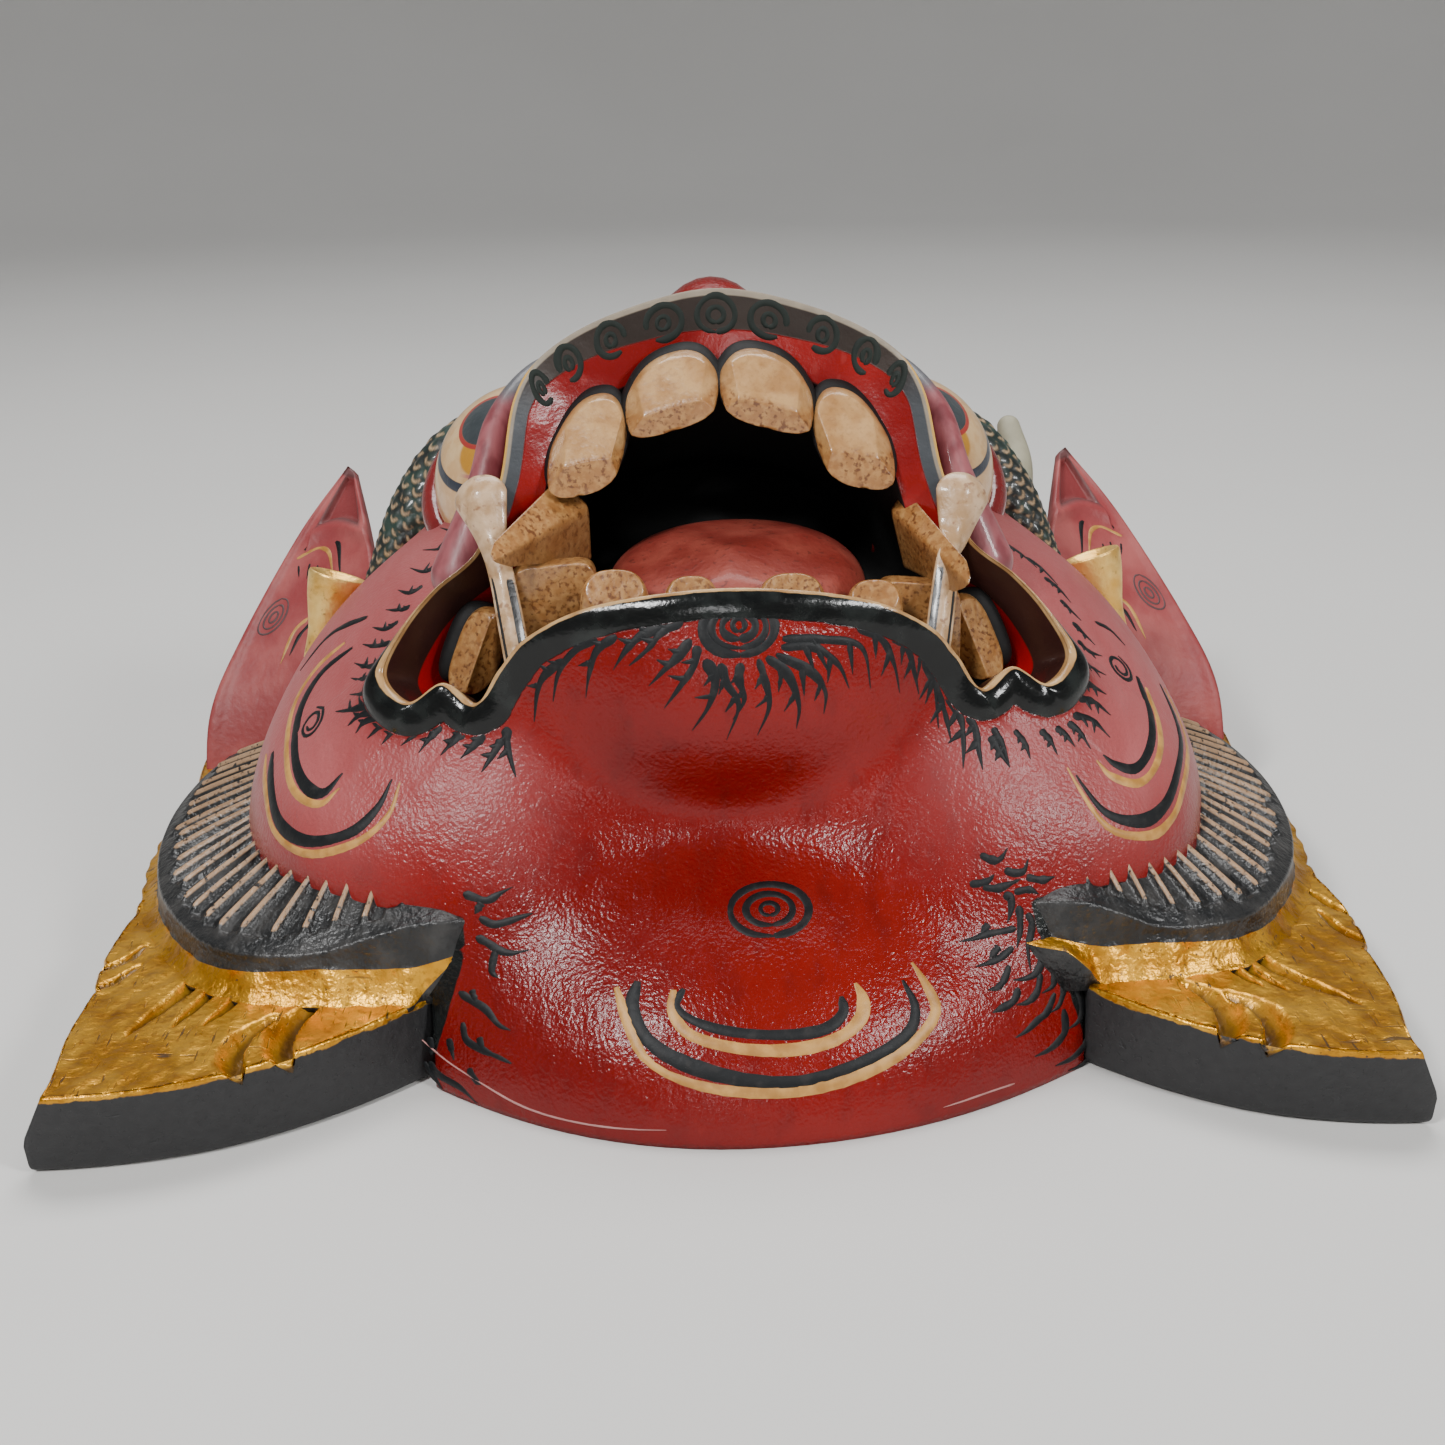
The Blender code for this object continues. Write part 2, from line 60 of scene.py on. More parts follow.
# The view: the camera looks down over the chin into the open mouth, as the photograph does.
pitch, yaw, roll = np.radians((20.0, 1.44, 1.2))
ahead = np.array((np.sin(yaw) * np.cos(pitch), np.cos(yaw) * np.cos(pitch), -np.sin(pitch)))
level = np.array((np.cos(yaw), -np.sin(yaw), 0))
upward = np.cross(level, ahead)
camera = bpy.data.objects.new("camera", bpy.data.cameras.new("camera"))
bpy.context.scene.collection.objects.link(camera)
camera.data.sensor_width = 36
camera.data.lens = 49.83
columns = (np.cos(roll) * level - np.sin(roll) * upward, np.sin(roll) * level + np.cos(roll) * upward,
           -ahead, (-0.0133, -0.5512, 0.2473))
camera.matrix_world = Matrix([[*row] for row in np.array(columns).T] + [[0, 0, 0, 1]])
bpy.context.scene.camera = camera


# The studio: a pale floor, and soft lamps whose reflections lie on the throat, the chin and the lips.
class Sockets:
    """Wraps a node socket, or makes nodes in one tree, so that sums on sockets are written as sums."""

    def __init__(self, tree, socket=None):
        self.tree, self.socket = tree, socket

    def finish(self, colour, roughness, normal=None, metallic=0.0, coat=0.0, coat_rough=0.1, specular=0.5):
        """Feeds the tree's shader what varies over a piece, and sets what is the same all over it."""
        shader = self.tree.nodes["Principled BSDF"]
        for key, value in (("Base Color", colour), ("Roughness", roughness), ("Metallic", metallic),
                           ("Coat Weight", coat), ("Normal", normal)):
            if isinstance(value, Sockets):
                self.tree.links.new(value.socket, shader.inputs[key])
            elif value is not None:
                shader.inputs[key].default_value = (*value, 1) if key == "Base Color" else value
        shader.inputs["Coat Roughness"].default_value = coat_rough
        shader.inputs["Specular IOR Level"].default_value = specular

    def node(self, kind, outlet=0, values=(), **settings):
        """A node of a kind: its settings first, then its sockets' values or links, by name or place."""
        made = self.tree.nodes.new(kind)
        for name, value in settings.items():
            setattr(made, name, value)
        for key, value in dict(values).items():
            if isinstance(value, Sockets):
                self.tree.links.new(value.socket, made.inputs[key])
            elif value is not None:
                made.inputs[key].default_value = value
        return Sockets(self.tree, made.outputs[outlet])

    def maths(self, operation, *values):
        return self.node("ShaderNodeMath", operation=operation, values=dict(enumerate(values)))

    def __add__(self, other):
        return self.maths("ADD", self, other)

    def __radd__(self, other):
        return self.maths("ADD", other, self)

    def __sub__(self, other):
        return self.maths("SUBTRACT", self, other)

    def __rsub__(self, other):
        return self.maths("SUBTRACT", other, self)

    def __mul__(self, other):
        return self.maths("MULTIPLY", self, other)

    def __rmul__(self, other):
        return self.maths("MULTIPLY", other, self)

    def most(self, other):
        return self.maths("MAXIMUM", self, other)

    def step(self, low, high):
        """Rises smoothly from 0 at low to 1 at high."""
        return self.node("ShaderNodeMapRange", interpolation_type="SMOOTHSTEP",
                         values={0: self, 1: low, 2: high, 3: 0.0, 4: 1.0})

    def attribute(self, name):
        return self.node("ShaderNodeAttribute", 2, attribute_name=name)

    def place(self, scale=(1, 1, 1)):
        """Object coordinates in metres, stretched by scale."""
        here = self.node("ShaderNodeTexCoord", 3)
        return self.node("ShaderNodeMapping", values={0: here, 3: scale})

    def noise(self, scale, detail=2.0, place=None):
        return self.node("ShaderNodeTexNoise", values={
            "Vector": place or self.place(), "Scale": scale, "Detail": detail})

    def mix(self, share, first, second):
        """Colour that goes from first to second as share goes from 0 to 1."""
        colours = {key: (*c, 1) if isinstance(c, tuple) else c for key, c in ((6, first), (7, second))}
        return self.node("ShaderNodeMix", 2, data_type="RGBA", values={0: share, **colours})

    def bump(self, height, distance, strength=1.0, under=None):
        return self.node("ShaderNodeBump", values={
            "Height": height, "Distance": distance, "Strength": strength, "Normal": under})


def new_finish(name):
    """A new material, and the sockets of its tree."""
    material = bpy.data.materials.new(name)
    material.use_nodes = True
    return material, Sockets(material.node_tree)


def quads_over(number, wrap_rows, wrap_columns):
    """The quads of a grid of point numbers, which may close on itself either way. Walking along a row
    and then up a column turns anticlockwise seen from outside."""
    if wrap_rows:
        number = np.vstack([number, number[:1]])
    if wrap_columns:
        number = np.hstack([number, number[:, :1]])
    corners = (number[:-1, :-1], number[:-1, 1:], number[1:, 1:], number[1:, :-1])
    return np.stack(corners, -1).reshape(-1, 4)


def meshed(name, points, quads, values, material):
    """An object of quads over points in metres, shaded smooth, with float values at its points."""
    mesh = bpy.data.meshes.new(name)
    mesh.from_pydata(points.tolist(), [], quads.tolist())
    for key, value in values.items():
        layer = mesh.attributes.new(key, "FLOAT", "POINT")
        layer.data.foreach_set("value", np.ascontiguousarray(value, dtype=np.float32).ravel())
    mesh.polygons.foreach_set("use_smooth", np.ones(len(quads), bool))
    mesh.materials.append(material)
    piece = bpy.data.objects.new(name, mesh)
    bpy.context.scene.collection.objects.link(piece)
    return piece


def surface(name, grid, material, wrap_rows, values):
    """One mesh over a grid of points in metres, joined round its rows, and up its columns if asked."""
    rows, cols = grid.shape[:2]
    number = np.arange(rows * cols).reshape(rows, cols)
    return meshed(name, grid.reshape(-1, 3), quads_over(number, wrap_rows, True), values, material)


pale, u = new_finish("pale_floor")
tone = u.noise(3.0, 3.0)
u.finish(u.mix(tone, (0.62, 0.61, 0.59), (0.68, 0.67, 0.65)), 0.75 + 0.1 * tone)
# A round floor that sweeps up into a low wall: a flat disc, then a quarter circle.
bend = np.linspace(0, 0.5 * np.pi, 16)
out = np.concatenate([(0.001, 0.5, 1.2), 1.8 + 1.2 * np.sin(bend), (3.0,)])[:, None]
rise = np.concatenate([(0, 0, 0), 1.2 - 1.2 * np.cos(bend), (1.9,)])[:, None] - 0.0001
turn = np.linspace(0, 2 * np.pi, 72, endpoint=False)
floor_grid = np.stack([out * np.cos(turn), -out * np.sin(turn), rise + 0 * turn], -1)
surface("floor", floor_grid, pale, False, {})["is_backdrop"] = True

world = bpy.data.worlds.new("studio")
world.use_nodes = True
world.node_tree.nodes["Background"].inputs["Color"].default_value = (0.80, 0.82, 0.86, 1)
world.node_tree.nodes["Background"].inputs["Strength"].default_value = 0.17
bpy.context.scene.world = world

# Each lamp: its name, where it hangs, its width and height in metres, and its power in watts.
LAMPS = (
    ("left_window", (-0.75, -1.05, 1.25), (0.30, 0.26), 23),
    ("right_window", (1.0, -1.0, 0.95), (0.3, 0.3), 15),
    ("overhead", (0.0, 0.5, 1.5), (1.2, 0.7), 20),
    ("near_camera", (-0.1, -1.3, 0.42), (0.25, 0.2), 1.5))
for name, place, size, power in LAMPS:
    lamp = bpy.data.lights.new(name, "AREA")
    lamp.shape = "RECTANGLE"
    lamp.size, lamp.size_y = size
    lamp.energy = power
    holder = bpy.data.objects.new(name, lamp)
    back = np.array(place) - (0, -0.02, 0.08)
    back = back / np.linalg.norm(back)
    across = np.cross((0, 0, 1), back)
    across = across / np.linalg.norm(across)
    holder.matrix_world = Matrix([[*row] for row in np.array((across, np.cross(back, across), back, place)).T]
                                 + [[0, 0, 0, 1]])
    bpy.context.scene.collection.objects.link(holder)


# The head block: one block of soft wood carved into the face, hollow behind, and lacquered red. The lips,
# the arch over the teeth and the inside of the mouth are painted on the same surface.
HEART = np.array((0.0, 130.0, 0.0))
MOUTH_AXIS = np.array((0.0, -42.0, 134.0))
FACE_MASSES = (((52, 142, 20), (80, 105, 92)), ((88, 104, 44), (34, 50, 30)), ((0, 118, 0), (104, 118, 61)),
               ((0, 92, 88), (56, 47, 35)), ((0, 134, 98), (57, 38, 69)), ((0, 168, 147), (18, 19, 26)),
               ((21, 174, 131), (13, 15, 14)), ((0, 210, 100), (15, 46, 32)), ((50, 176, 84), (32, 34, 34)),
               ((0, 208, 30), (102, 76, 84)))
LIP_RIDGE = ((0, 116, 178), (26, 112, 173), (43, 106, 165), (51, 99, 155), (55, 92, 136), (61, 85, 120),
             (72, 81, 111), (80, 78, 102), (85, 74, 92), (78, 67, 87), (69, 66, 92), (61, 62, 88),
             (55, 60, 97), (47, 58, 106), (30, 55, 114), (0, 52, 118))
GUM_LINE = ((0, 113, 158), (22, 110, 155), (35, 104, 148), (41, 99, 141), (45, 94, 128), (50, 95, 113),
            (60, 97, 98), (65, 96, 90), (68, 92, 80), (64, 85, 77), (58, 81, 78), (52, 78, 79),
            (45, 76, 86), (38, 72, 96), (24, 68, 104), (0, 65, 107))
HOLLOWS = (((0, 160, 0), (66, 95, 132)), ((0, 96, -6), (56, 70, 44)))
SEAM, SEAM_SHIFT, BOARD_TOP = 73.7, 10.0, 22.3


def placed(drawn):
    """Drawn millimetres to metres, with the middle of the mask over the origin."""
    middle = (0, 0.1565, 0)
    return np.asarray(drawn, float) * 0.001 - middle


def ramp(value, low, high):
    """Rises evenly from 0 at low to 1 at high."""
    return np.clip((value - low) / (high - low), 0, 1)


def unit(vectors):
    return vectors / np.linalg.norm(vectors, axis=-1, keepdims=True)


def mass_depth(points):
    """Signed distance to the rounded masses melted together: minus seven times the log of the sum of
    exp(-distance / 7), a mass's distance being size (size - 1) over the slope of its ellipsoid."""
    total = 0.0
    for centre, radii in FACE_MASSES:
        for side in (1, -1) if centre[0] else (1,):
            out = (points - np.array((side * centre[0], *centre[1:]))) / np.array(radii)
            size = np.linalg.norm(out, axis=-1)
            slope = np.linalg.norm(out / np.array(radii), axis=-1)
            total = total + np.exp(-size * (size - 1) / slope / 7.0)
    return -7.0 * np.log(total)


def reach(directions):
    """Distance from HEART to the outermost crossing of the masses along each unit direction."""
    steps = np.linspace(235, 25, 43)
    first = np.zeros(directions.shape[:-1], int)
    for number in range(len(steps) - 1, 0, -1):
        first = np.where(mass_depth(HEART + directions * steps[number]) <= 0, number, first)
    near, far = steps[first], steps[first - 1]
    for _ in range(12):
        middle = (near + far) / 2
        out = mass_depth(HEART + directions * middle[..., None]) > 0
        near, far = np.where(out, near, middle), np.where(out, middle, far)
    return near


def through(points, count, closed=False):
    """A smooth curve through points: each span is a Catmull-Rom cubic, count points in all."""
    line = np.array(points, float)
    spans = len(line) if closed else len(line) - 1
    place = np.arange(count) * spans / count if closed else np.linspace(0, spans, count)
    index = np.minimum(place.astype(int), spans - 1)
    t = (place - index)[:, None]
    if closed:
        a, b, c, d = (line[(index + k) % len(line)] for k in (-1, 0, 1, 2))
    else:
        line = np.vstack([2 * line[0] - line[1], line, 2 * line[-1] - line[-2]])
        a, b, c, d = (line[index + k] for k in range(4))
    return b + t / 2 * (c - a + t * (2 * a - 5 * b + 4 * c - d + t * (3 * (b - c) + d - a)))


def whole_loop(half):
    """A half loop and its mirror image, run round once through +x."""
    half = np.array(half, float)
    return np.vstack([half, half[-2:0:-1] * (-1, 1, 1)])


# Columns round the face and round its finer ridge, and spans between the places round the whole lip.
ROUND, FINE_ROUND, LIP_SPANS = 480, 1920, 30
ridge = through(whole_loop(LIP_RIDGE), ROUND, closed=True)
gum = through(whole_loop(GUM_LINE), ROUND, closed=True)
lip_place = np.arange(ROUND) * LIP_SPANS / ROUND
lip_place = np.minimum(lip_place, LIP_SPANS - lip_place)
pole = unit(MOUTH_AXIS)
aside = unit(np.cross(MOUTH_AXIS, (1.0, 0.0, 0.0)))
lip_way = unit(ridge - HEART)
azimuth = np.unwrap(np.arctan2(lip_way @ aside, lip_way[:, 0]))
lip_polar = np.arccos(lip_way @ pole)
lip_lift = np.linalg.norm(ridge - HEART, axis=1) - reach(lip_way)
lip_steep = 7 + 11 * ramp(lip_place, 5.6, 4.2)
turns = np.argsort(azimuth % (2 * np.pi))


def way_at(spin, polar):
    """The unit direction that stands polar away from the mouth's axis, spun round it."""
    round_it = np.cos(spin)[..., None] * (1.0, 0.0, 0.0) + np.sin(spin)[..., None] * aside
    return np.cos(polar)[..., None] * pole + np.sin(polar)[..., None] * round_it


def leaned(points):
    """The right side of the throat is carved wider than the left: low places there move to the right."""
    side = np.clip(points[..., :1] / 74, 0, 1)
    low = ramp(points[..., 2:], 65, 25) * ramp(points[..., 1:2], 85, 45)
    return points + SEAM_SHIFT * side * low * (1, 0, 0)


def face_at(spin, polar, raised=0.0):
    """Places on the carved face. From the rim to the lips the distance from HEART is what reach finds,
    plus the lift of the lip there times a power of the share of the way gone, which is steeper where
    the arch over the teeth stands up as a flange. The right of the throat is then leaned outwards."""
    rim = np.arctan2(pole[2], -np.sin(spin) * aside[2])
    keys = (azimuth % (2 * np.pi))[turns]
    lip, lift, steep = (np.interp(spin % (2 * np.pi), keys, value[turns], period=2 * np.pi)
                        for value in (lip_polar, lip_lift, lip_steep))
    share = np.clip((rim - polar) / (rim - lip), 0, 1)
    way = way_at(spin, polar)
    return leaned(HEART + way * (reach(way) + lift * share**steep + raised)[..., None])


def to_line(points, line):
    """Distance from each point to the nearest of the line's points, and that point's number."""
    best, which = np.full(len(points), 1e9), np.zeros(len(points), int)
    for start in range(0, len(points), 4000):
        part = points[start:start + 4000]
        gap = ((part[:, None] - line[None]) ** 2).sum(-1)
        which[start:start + 4000] = gap.argmin(1)
        best[start:start + 4000] = np.sqrt(gap.min(1))
    return best, which


outer_rows, lip_rows, way_rows, hollow_rows = 122, 22, 8, 26
share = 1 - (1 - np.linspace(0, 1, outer_rows)) ** 1.45
rim_polar = np.arctan2(pole[2], -np.sin(azimuth) * aside[2])
polar = rim_polar + (lip_polar - rim_polar) * share[:-1, None]
outside = face_at(np.broadcast_to(azimuth, polar.shape), polar)
inward = unit(gum - ridge) + unit(HEART - ridge)
middle = (ridge + gum) / 2 + inward * 2.0
share = np.linspace(0, 1, lip_rows + 1)[1:, None, None] ** 1.2
inside = (1 - share) ** 2 * ridge + 2 * share * (1 - share) * middle + share**2 * gum
spin = np.arctan2(gum[:, 2] - 106, gum[:, 0])
way_end = np.stack([36 * np.cos(spin), np.full(ROUND, 152.0), 106 + 19 * np.sin(spin)], 1)
share = np.linspace(0, 1, way_rows + 1)[1:, None, None]
throat_way = (1 - share) * gum + share * way_end


def hollow_reach(directions):
    """Distance from HEART to the wall of the hollow: the farther of its two ellipsoids along each way."""
    found = []
    for centre, radii in HOLLOWS:
        start, run = (HEART - centre) / radii, directions / radii
        a, b, c = (run * run).sum(-1), (run * start).sum(-1), (start * start).sum() - 1
        found.append((-b + np.sqrt(b * b - a * c)) / a)
    return np.maximum(*found)


start_way = unit(way_end - HEART)
start_spin = np.arctan2(start_way @ aside, start_way[:, 0])
start_polar = np.arccos(start_way @ pole)
end_polar = np.arctan2(pole[2], -np.sin(start_spin) * aside[2])
share = np.linspace(0, 1, hollow_rows + 1)[1:, None]
hollow_way = way_at(np.broadcast_to(start_spin, (hollow_rows, ROUND)),
                    start_polar + (end_polar - start_polar) * share)
hollow = HEART + hollow_way * hollow_reach(hollow_way)[..., None]
hollow[-1, :, 2] = 0

outside[0, :, 2] = 0
seam = SEAM + SEAM_SHIFT * (outside[..., 0] > 0)
under = (outside[..., 2] < BOARD_TOP) & (np.abs(outside[..., 0]) > seam)
outside[..., 0] = np.where(under, np.sign(outside[..., 0]) * seam, outside[..., 0])
back = (outside[:1] + hollow[-1:]) / 2
face = np.concatenate([outside, ridge[None], inside, throat_way, hollow, back])

# Signed distance from the ridge, positive outside, and how far round the lip the nearest ridge point is.
fine_ridge = through(whole_loop(LIP_RIDGE), FINE_ROUND, closed=True)
near_rows = slice(outer_rows - 62, outer_rows + lip_rows + way_rows)
gap, which = to_line(face[near_rows].reshape(-1, 3), fine_ridge)
from_ridge = np.full(face.shape[:2], 60.0)
from_ridge[near_rows] = gap.reshape(-1, ROUND)
from_ridge[outer_rows:] *= -1
around = which * LIP_SPANS / FINE_ROUND
lip_at = np.full(face.shape[:2], LIP_SPANS / 2)
lip_at[near_rows] = np.minimum(around, LIP_SPANS - around).reshape(-1, ROUND)
from_ridge[outer_rows + lip_rows + way_rows:] = -60

# The painted band outside the lower lip is a low roll, which is fuller round the corners of the mouth.
band = 7.5 + 1.0 * np.exp(-((lip_at - 9) / 2.5) ** 2)
roll = np.clip(from_ridge / band, 0, 1)
fullness = ramp(lip_at, 5, 6.5) * (1.0 + 1.3 * np.exp(-((lip_at - 9.3) / 2) ** 2))
swell = fullness * np.sin(np.pi * roll) ** 0.7 * (from_ridge > 0)
face = face + unit(face - HEART) * swell[..., None]
# The sharp ridge is rubbed round.
for _ in range(3):
    part = face[outer_rows - 4:outer_rows + 3]
    face[outer_rows - 4:outer_rows + 3] = 0.5 * part + 0.25 * (
        face[outer_rows - 5:outer_rows + 2] + face[outer_rows - 3:outer_rows + 4])

lacquer, u = new_finish("red_lacquer")
away, lip = u.attribute("from_ridge"), u.attribute("lip_at")
wide, fine = u.noise(14.0, 4.0), u.noise(260.0, 3.0)
strokes = u.noise(200.0, 3.0, place=u.place((1.0, 0.30, 0.6)))
red = u.mix(wide.step(0.35, 0.7), (0.150, 0.0034, 0.0028), (0.215, 0.0062, 0.0046))
red = u.mix(strokes.step(0.45, 0.75) * 0.45, red, (0.105, 0.0034, 0.0032))
red = u.mix(fine.step(0.62, 0.8) * 0.3, red, (0.25, 0.012, 0.008))
# The painted sheen: a pink tint, and a rougher finish, where light glances off the lacquer.
painted_sheen = u.attribute("painted_sheen") * (0.55 + 0.6 * wide)
red = u.mix(painted_sheen, red, u.mix(strokes, (0.33, 0.070, 0.072), (0.40, 0.115, 0.115)))
arch, lower = 1 - lip.step(4.6, 4.9), lip.step(4.6, 5.0)
deep = u.attribute("arch_edge").step(0.3, -0.4) * arch
scratch = u.noise(420.0, 2.0, place=u.place((0.5, 1.0, 0.2)))
inner_red = u.mix(u.noise(40.0).step(0.4, 0.7), (0.19, 0.0045, 0.0048), (0.28, 0.0105, 0.0095))
inner_red = u.mix(scratch.step(0.64, 0.74) * 0.3, inner_red, (0.34, 0.05, 0.045))
colour = u.mix(deep, red, inner_red)
brown = u.mix(u.noise(60.0, 3.0), (0.012, 0.007, 0.005), (0.034, 0.021, 0.015))
# Towards the sides the band turns bluish grey: a painted reflection of the gloss on it.
brown = u.mix(lip.step(2.4, 3.4) * 0.8, brown, (0.050, 0.060, 0.070))
on_band = away.step(1.4, 1.0) * u.attribute("arch_edge").step(-0.3, 0.2) * arch * (1 - lip.step(4.3, 4.5))
colour = u.mix(on_band, colour, brown)
rim = away.step(1.7, 1.3) * away.step(-2.0, -1.5) * arch
colour = u.mix(rim, colour, u.mix(fine, (0.20, 0.165, 0.125), (0.33, 0.275, 0.205)))
nose = (u.attribute("nose_tip") + 1.5 * (wide - 0.5)).step(-0.4, 0.4)
nose_paint = u.mix(u.noise(80.0, 3.0).step(0.42, 0.58), (0.030, 0.022, 0.018), (0.085, 0.016, 0.014))
colour = u.mix(nose * away.step(1.8, 2.4), colour, nose_paint)
gold_stripe = away.step(3.6, 3.2) * away.step(-1.0, -0.6) * lip.step(2.2, 2.6) * (1 - lip.step(4.25, 4.35))
colour = u.mix(gold_stripe, colour, u.mix(u.noise(90.0), (0.44, 0.235, 0.035), (0.62, 0.37, 0.08)))
cup = u.mix(u.noise(50.0, 3.0), (0.022, 0.008, 0.007), (0.052, 0.018, 0.014))
in_cup = away.step(0.0, -0.5) * lower * lip.step(11.2, 10.8)
colour = u.mix(in_cup * away.step(-12.6, -12.0), colour, cup)
colour = u.mix(in_cup * away.step(-12.0, -12.6), colour, (0.33, 0.0075, 0.0080))
# Behind the lower lip the inner wall is painted near black: a painted shade under the lower teeth.
behind = away.step(0.0, -0.5) * lower * lip.step(10.8, 11.2)
colour = u.mix(behind, colour, (0.014, 0.006, 0.006))
black_band = away.step(-0.2, 0.2) * (u.attribute("band_edge") + 0.8 * (fine - 0.5)).step(-0.15, 0.15) * lower
black = u.mix(u.noise(120.0, 4.0).step(0.45, 0.75), (0.0045, 0.005, 0.005), (0.016, 0.019, 0.018))
colour = u.mix(black_band, colour, black)
cream = u.mix(u.noise(150.0, 3.0).step(0.35, 0.65), (0.34, 0.18, 0.07), (0.50, 0.31, 0.14))
cream_rim = (away + 0.7 * (fine - 0.5)).step(1.5, 1.2) * away.step(-1.6, -1.2) * lower
colour = u.mix(cream_rim, colour, cream)
colour = u.mix(u.attribute("in_mouth"), colour, (0.0055, 0.0055, 0.0055))
colour = u.mix((u.attribute("seam_black") + 0.8 * (fine - 0.5)).step(-0.2, 0.2), colour, black)
gilt = (u.attribute("seam_gold") + 1.2 * (fine - 0.5)).step(-0.2, 0.2)
colour = u.mix(gilt, colour, u.mix(fine, (0.65, 0.31, 0.03), (0.85, 0.47, 0.08)))
ripple, dents = u.noise(1000.0, 2.0), u.noise(55.0, 2.0)
calm = 1 - 0.75 * black_band.most(deep).most(on_band).most(in_cup)
normal = u.bump(ripple * calm, 0.0004, 0.6, u.bump(strokes * calm, 0.0005, 0.5, u.bump(dents, 0.002, 0.4)))
rough = 0.16 + 0.12 * fine + 0.20 * on_band + 0.24 * u.attribute("painted_sheen") + 0.5 * u.attribute("in_mouth")
u.finish(colour, rough - 0.07 * black_band, normal, gilt * 0.8, specular=0.32)


def facing(grid):
    """Unit normals of a grid of places, from the cross product of its two ways."""
    return unit(np.cross(np.gradient(grid, axis=0), np.gradient(grid, axis=1)) + 1e-9)


normals = facing(face)
# Where the painted sheen lies: on faces turned upwards high on the face and on the cheeks, kept off the lips
# and the middle. It stands for light reflected off the lacquer.
painted_sheen = ramp(normals[..., 2], 0.15, 0.75) * ramp(face[..., 2], 45, 75)
on_cheek = ramp(np.abs(face[..., 0]), 70, 100) * ramp(face[..., 2], 40, 65)
painted_sheen = np.maximum(painted_sheen, on_cheek)
painted_sheen *= np.clip(from_ridge / 6 - 1, 0, 1) * ramp(np.abs(face[..., 0]), 35, 55)
in_mouth = np.zeros(face.shape[:2])
# The painted band inside the arch is widest at the top. Beside the throat the leaf runs on over the seam.
arch_edge = from_ridge + 10.5 - 5.5 * np.clip(lip_at / 3.2, 0, 1)
off_middle = np.abs(face[..., 0]) - (leaned(face) - face)[..., 0]
on_flank = np.minimum(off_middle - 64.6 - (34.6 - face[..., 2]).clip(0) * 0.34, 66 - face[..., 1])
leaf_line = 22 + (77 - off_middle) * 1.15 - face[..., 2]
strip = leaf_line + (off_middle - 66).clip(0) * 0.45
above = np.minimum(np.minimum(off_middle - 65, 42 - face[..., 2]), np.minimum(48 - face[..., 1], -strip))
seam_black = np.maximum(np.minimum(on_flank, leaf_line), above)
seam_gold = np.minimum(np.minimum(on_flank, -leaf_line), strip)
in_mouth[outer_rows + lip_rows - 1:outer_rows + lip_rows + way_rows + hollow_rows + 1] = 1
nose_tip = np.minimum(np.minimum(face[..., 2] - 167, face[..., 1] - 112), 130 - face[..., 1]) / 3
values = {"from_ridge": from_ridge, "lip_at": lip_at, "band_edge": band - from_ridge, "painted_sheen": painted_sheen,
          "in_mouth": in_mouth, "arch_edge": arch_edge, "seam_black": seam_black, "seam_gold": seam_gold,
          "nose_tip": nose_tip}
values = {key: value[::-1] for key, value in values.items()}
head = surface("face_block", placed(face)[::-1], lacquer, True, values)
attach(head, "root")
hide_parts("head")


# The teeth: carved in one with the block, each trimmed with a few flat knife cuts, then painted ivory,
# speckled brown on the biting sides and varnished. Fangs point out of the corners over two bone tusks.
def lump(centre, axes, squareness=0.8, cuts=(), rows=40, cols=72):
    """A rounded lump: the sines and cosines of an ellipsoid's two angles raised to squareness, times
    three axis vectors. Each cut is a plane at some depth, and what lies past it is pressed back onto it."""
    def power(value):
        return np.sign(value) * np.abs(value) ** squareness

    lift = np.linspace(-np.pi / 2, np.pi / 2, rows)[:, None, None]
    spin = np.linspace(0, 2 * np.pi, cols, endpoint=False)[None, :, None]
    wide, tall = power(np.cos(lift)), power(np.sin(lift))
    body = np.concatenate([wide * power(np.cos(spin)), wide * power(np.sin(spin)), tall + 0 * spin], -1)
    body[[0, -1], :, :2] = 0
    for *way, depth in cuts:
        way = unit(np.array(way))
        body = body - np.maximum(body @ way - depth, 0)[..., None] * way
    return np.array(centre, float) + body @ np.array(axes, float)


def bar(path, radii, flat=1.0, ridges=0.0, rows=60, cols=48):
    """A tapered bar along a smooth path with round ends: circles of the path's radii, flattened, and
    drawn out along four ridges. The ends close on half circles."""
    line = through(path, rows - 16)
    size = through([(r, 0, 0) for r in radii], rows - 16)[:, 0]
    along = unit(np.gradient(line, axis=0))
    cap = np.linspace(0, 0.5 * np.pi, 9)[1:]
    first = line[0] - along[0] * size[0] * np.sin(cap)[::-1, None]
    last = line[-1] + along[-1] * size[-1] * np.sin(cap)[:, None]
    line = np.vstack([first, line, last])
    size = np.concatenate([size[0] * np.cos(cap)[::-1], size, size[-1] * np.cos(cap)])
    along = np.vstack([np.repeat(along[:1], 8, 0), along, np.repeat(along[-1:], 8, 0)])
    side = unit(np.cross(along, (0.0, 1.0, 0.35)))
    up = np.cross(side, along)
    spin = np.linspace(0, 2 * np.pi, cols, endpoint=False)
    out = 1 + ridges * np.abs(np.cos(2 * spin)) ** 3
    ring = out[None, :, None] * (np.cos(spin)[None, :, None] * side[:, None]
                                 + flat * np.sin(spin)[None, :, None] * up[:, None])
    return line[:, None] + size[:, None, None] * ring


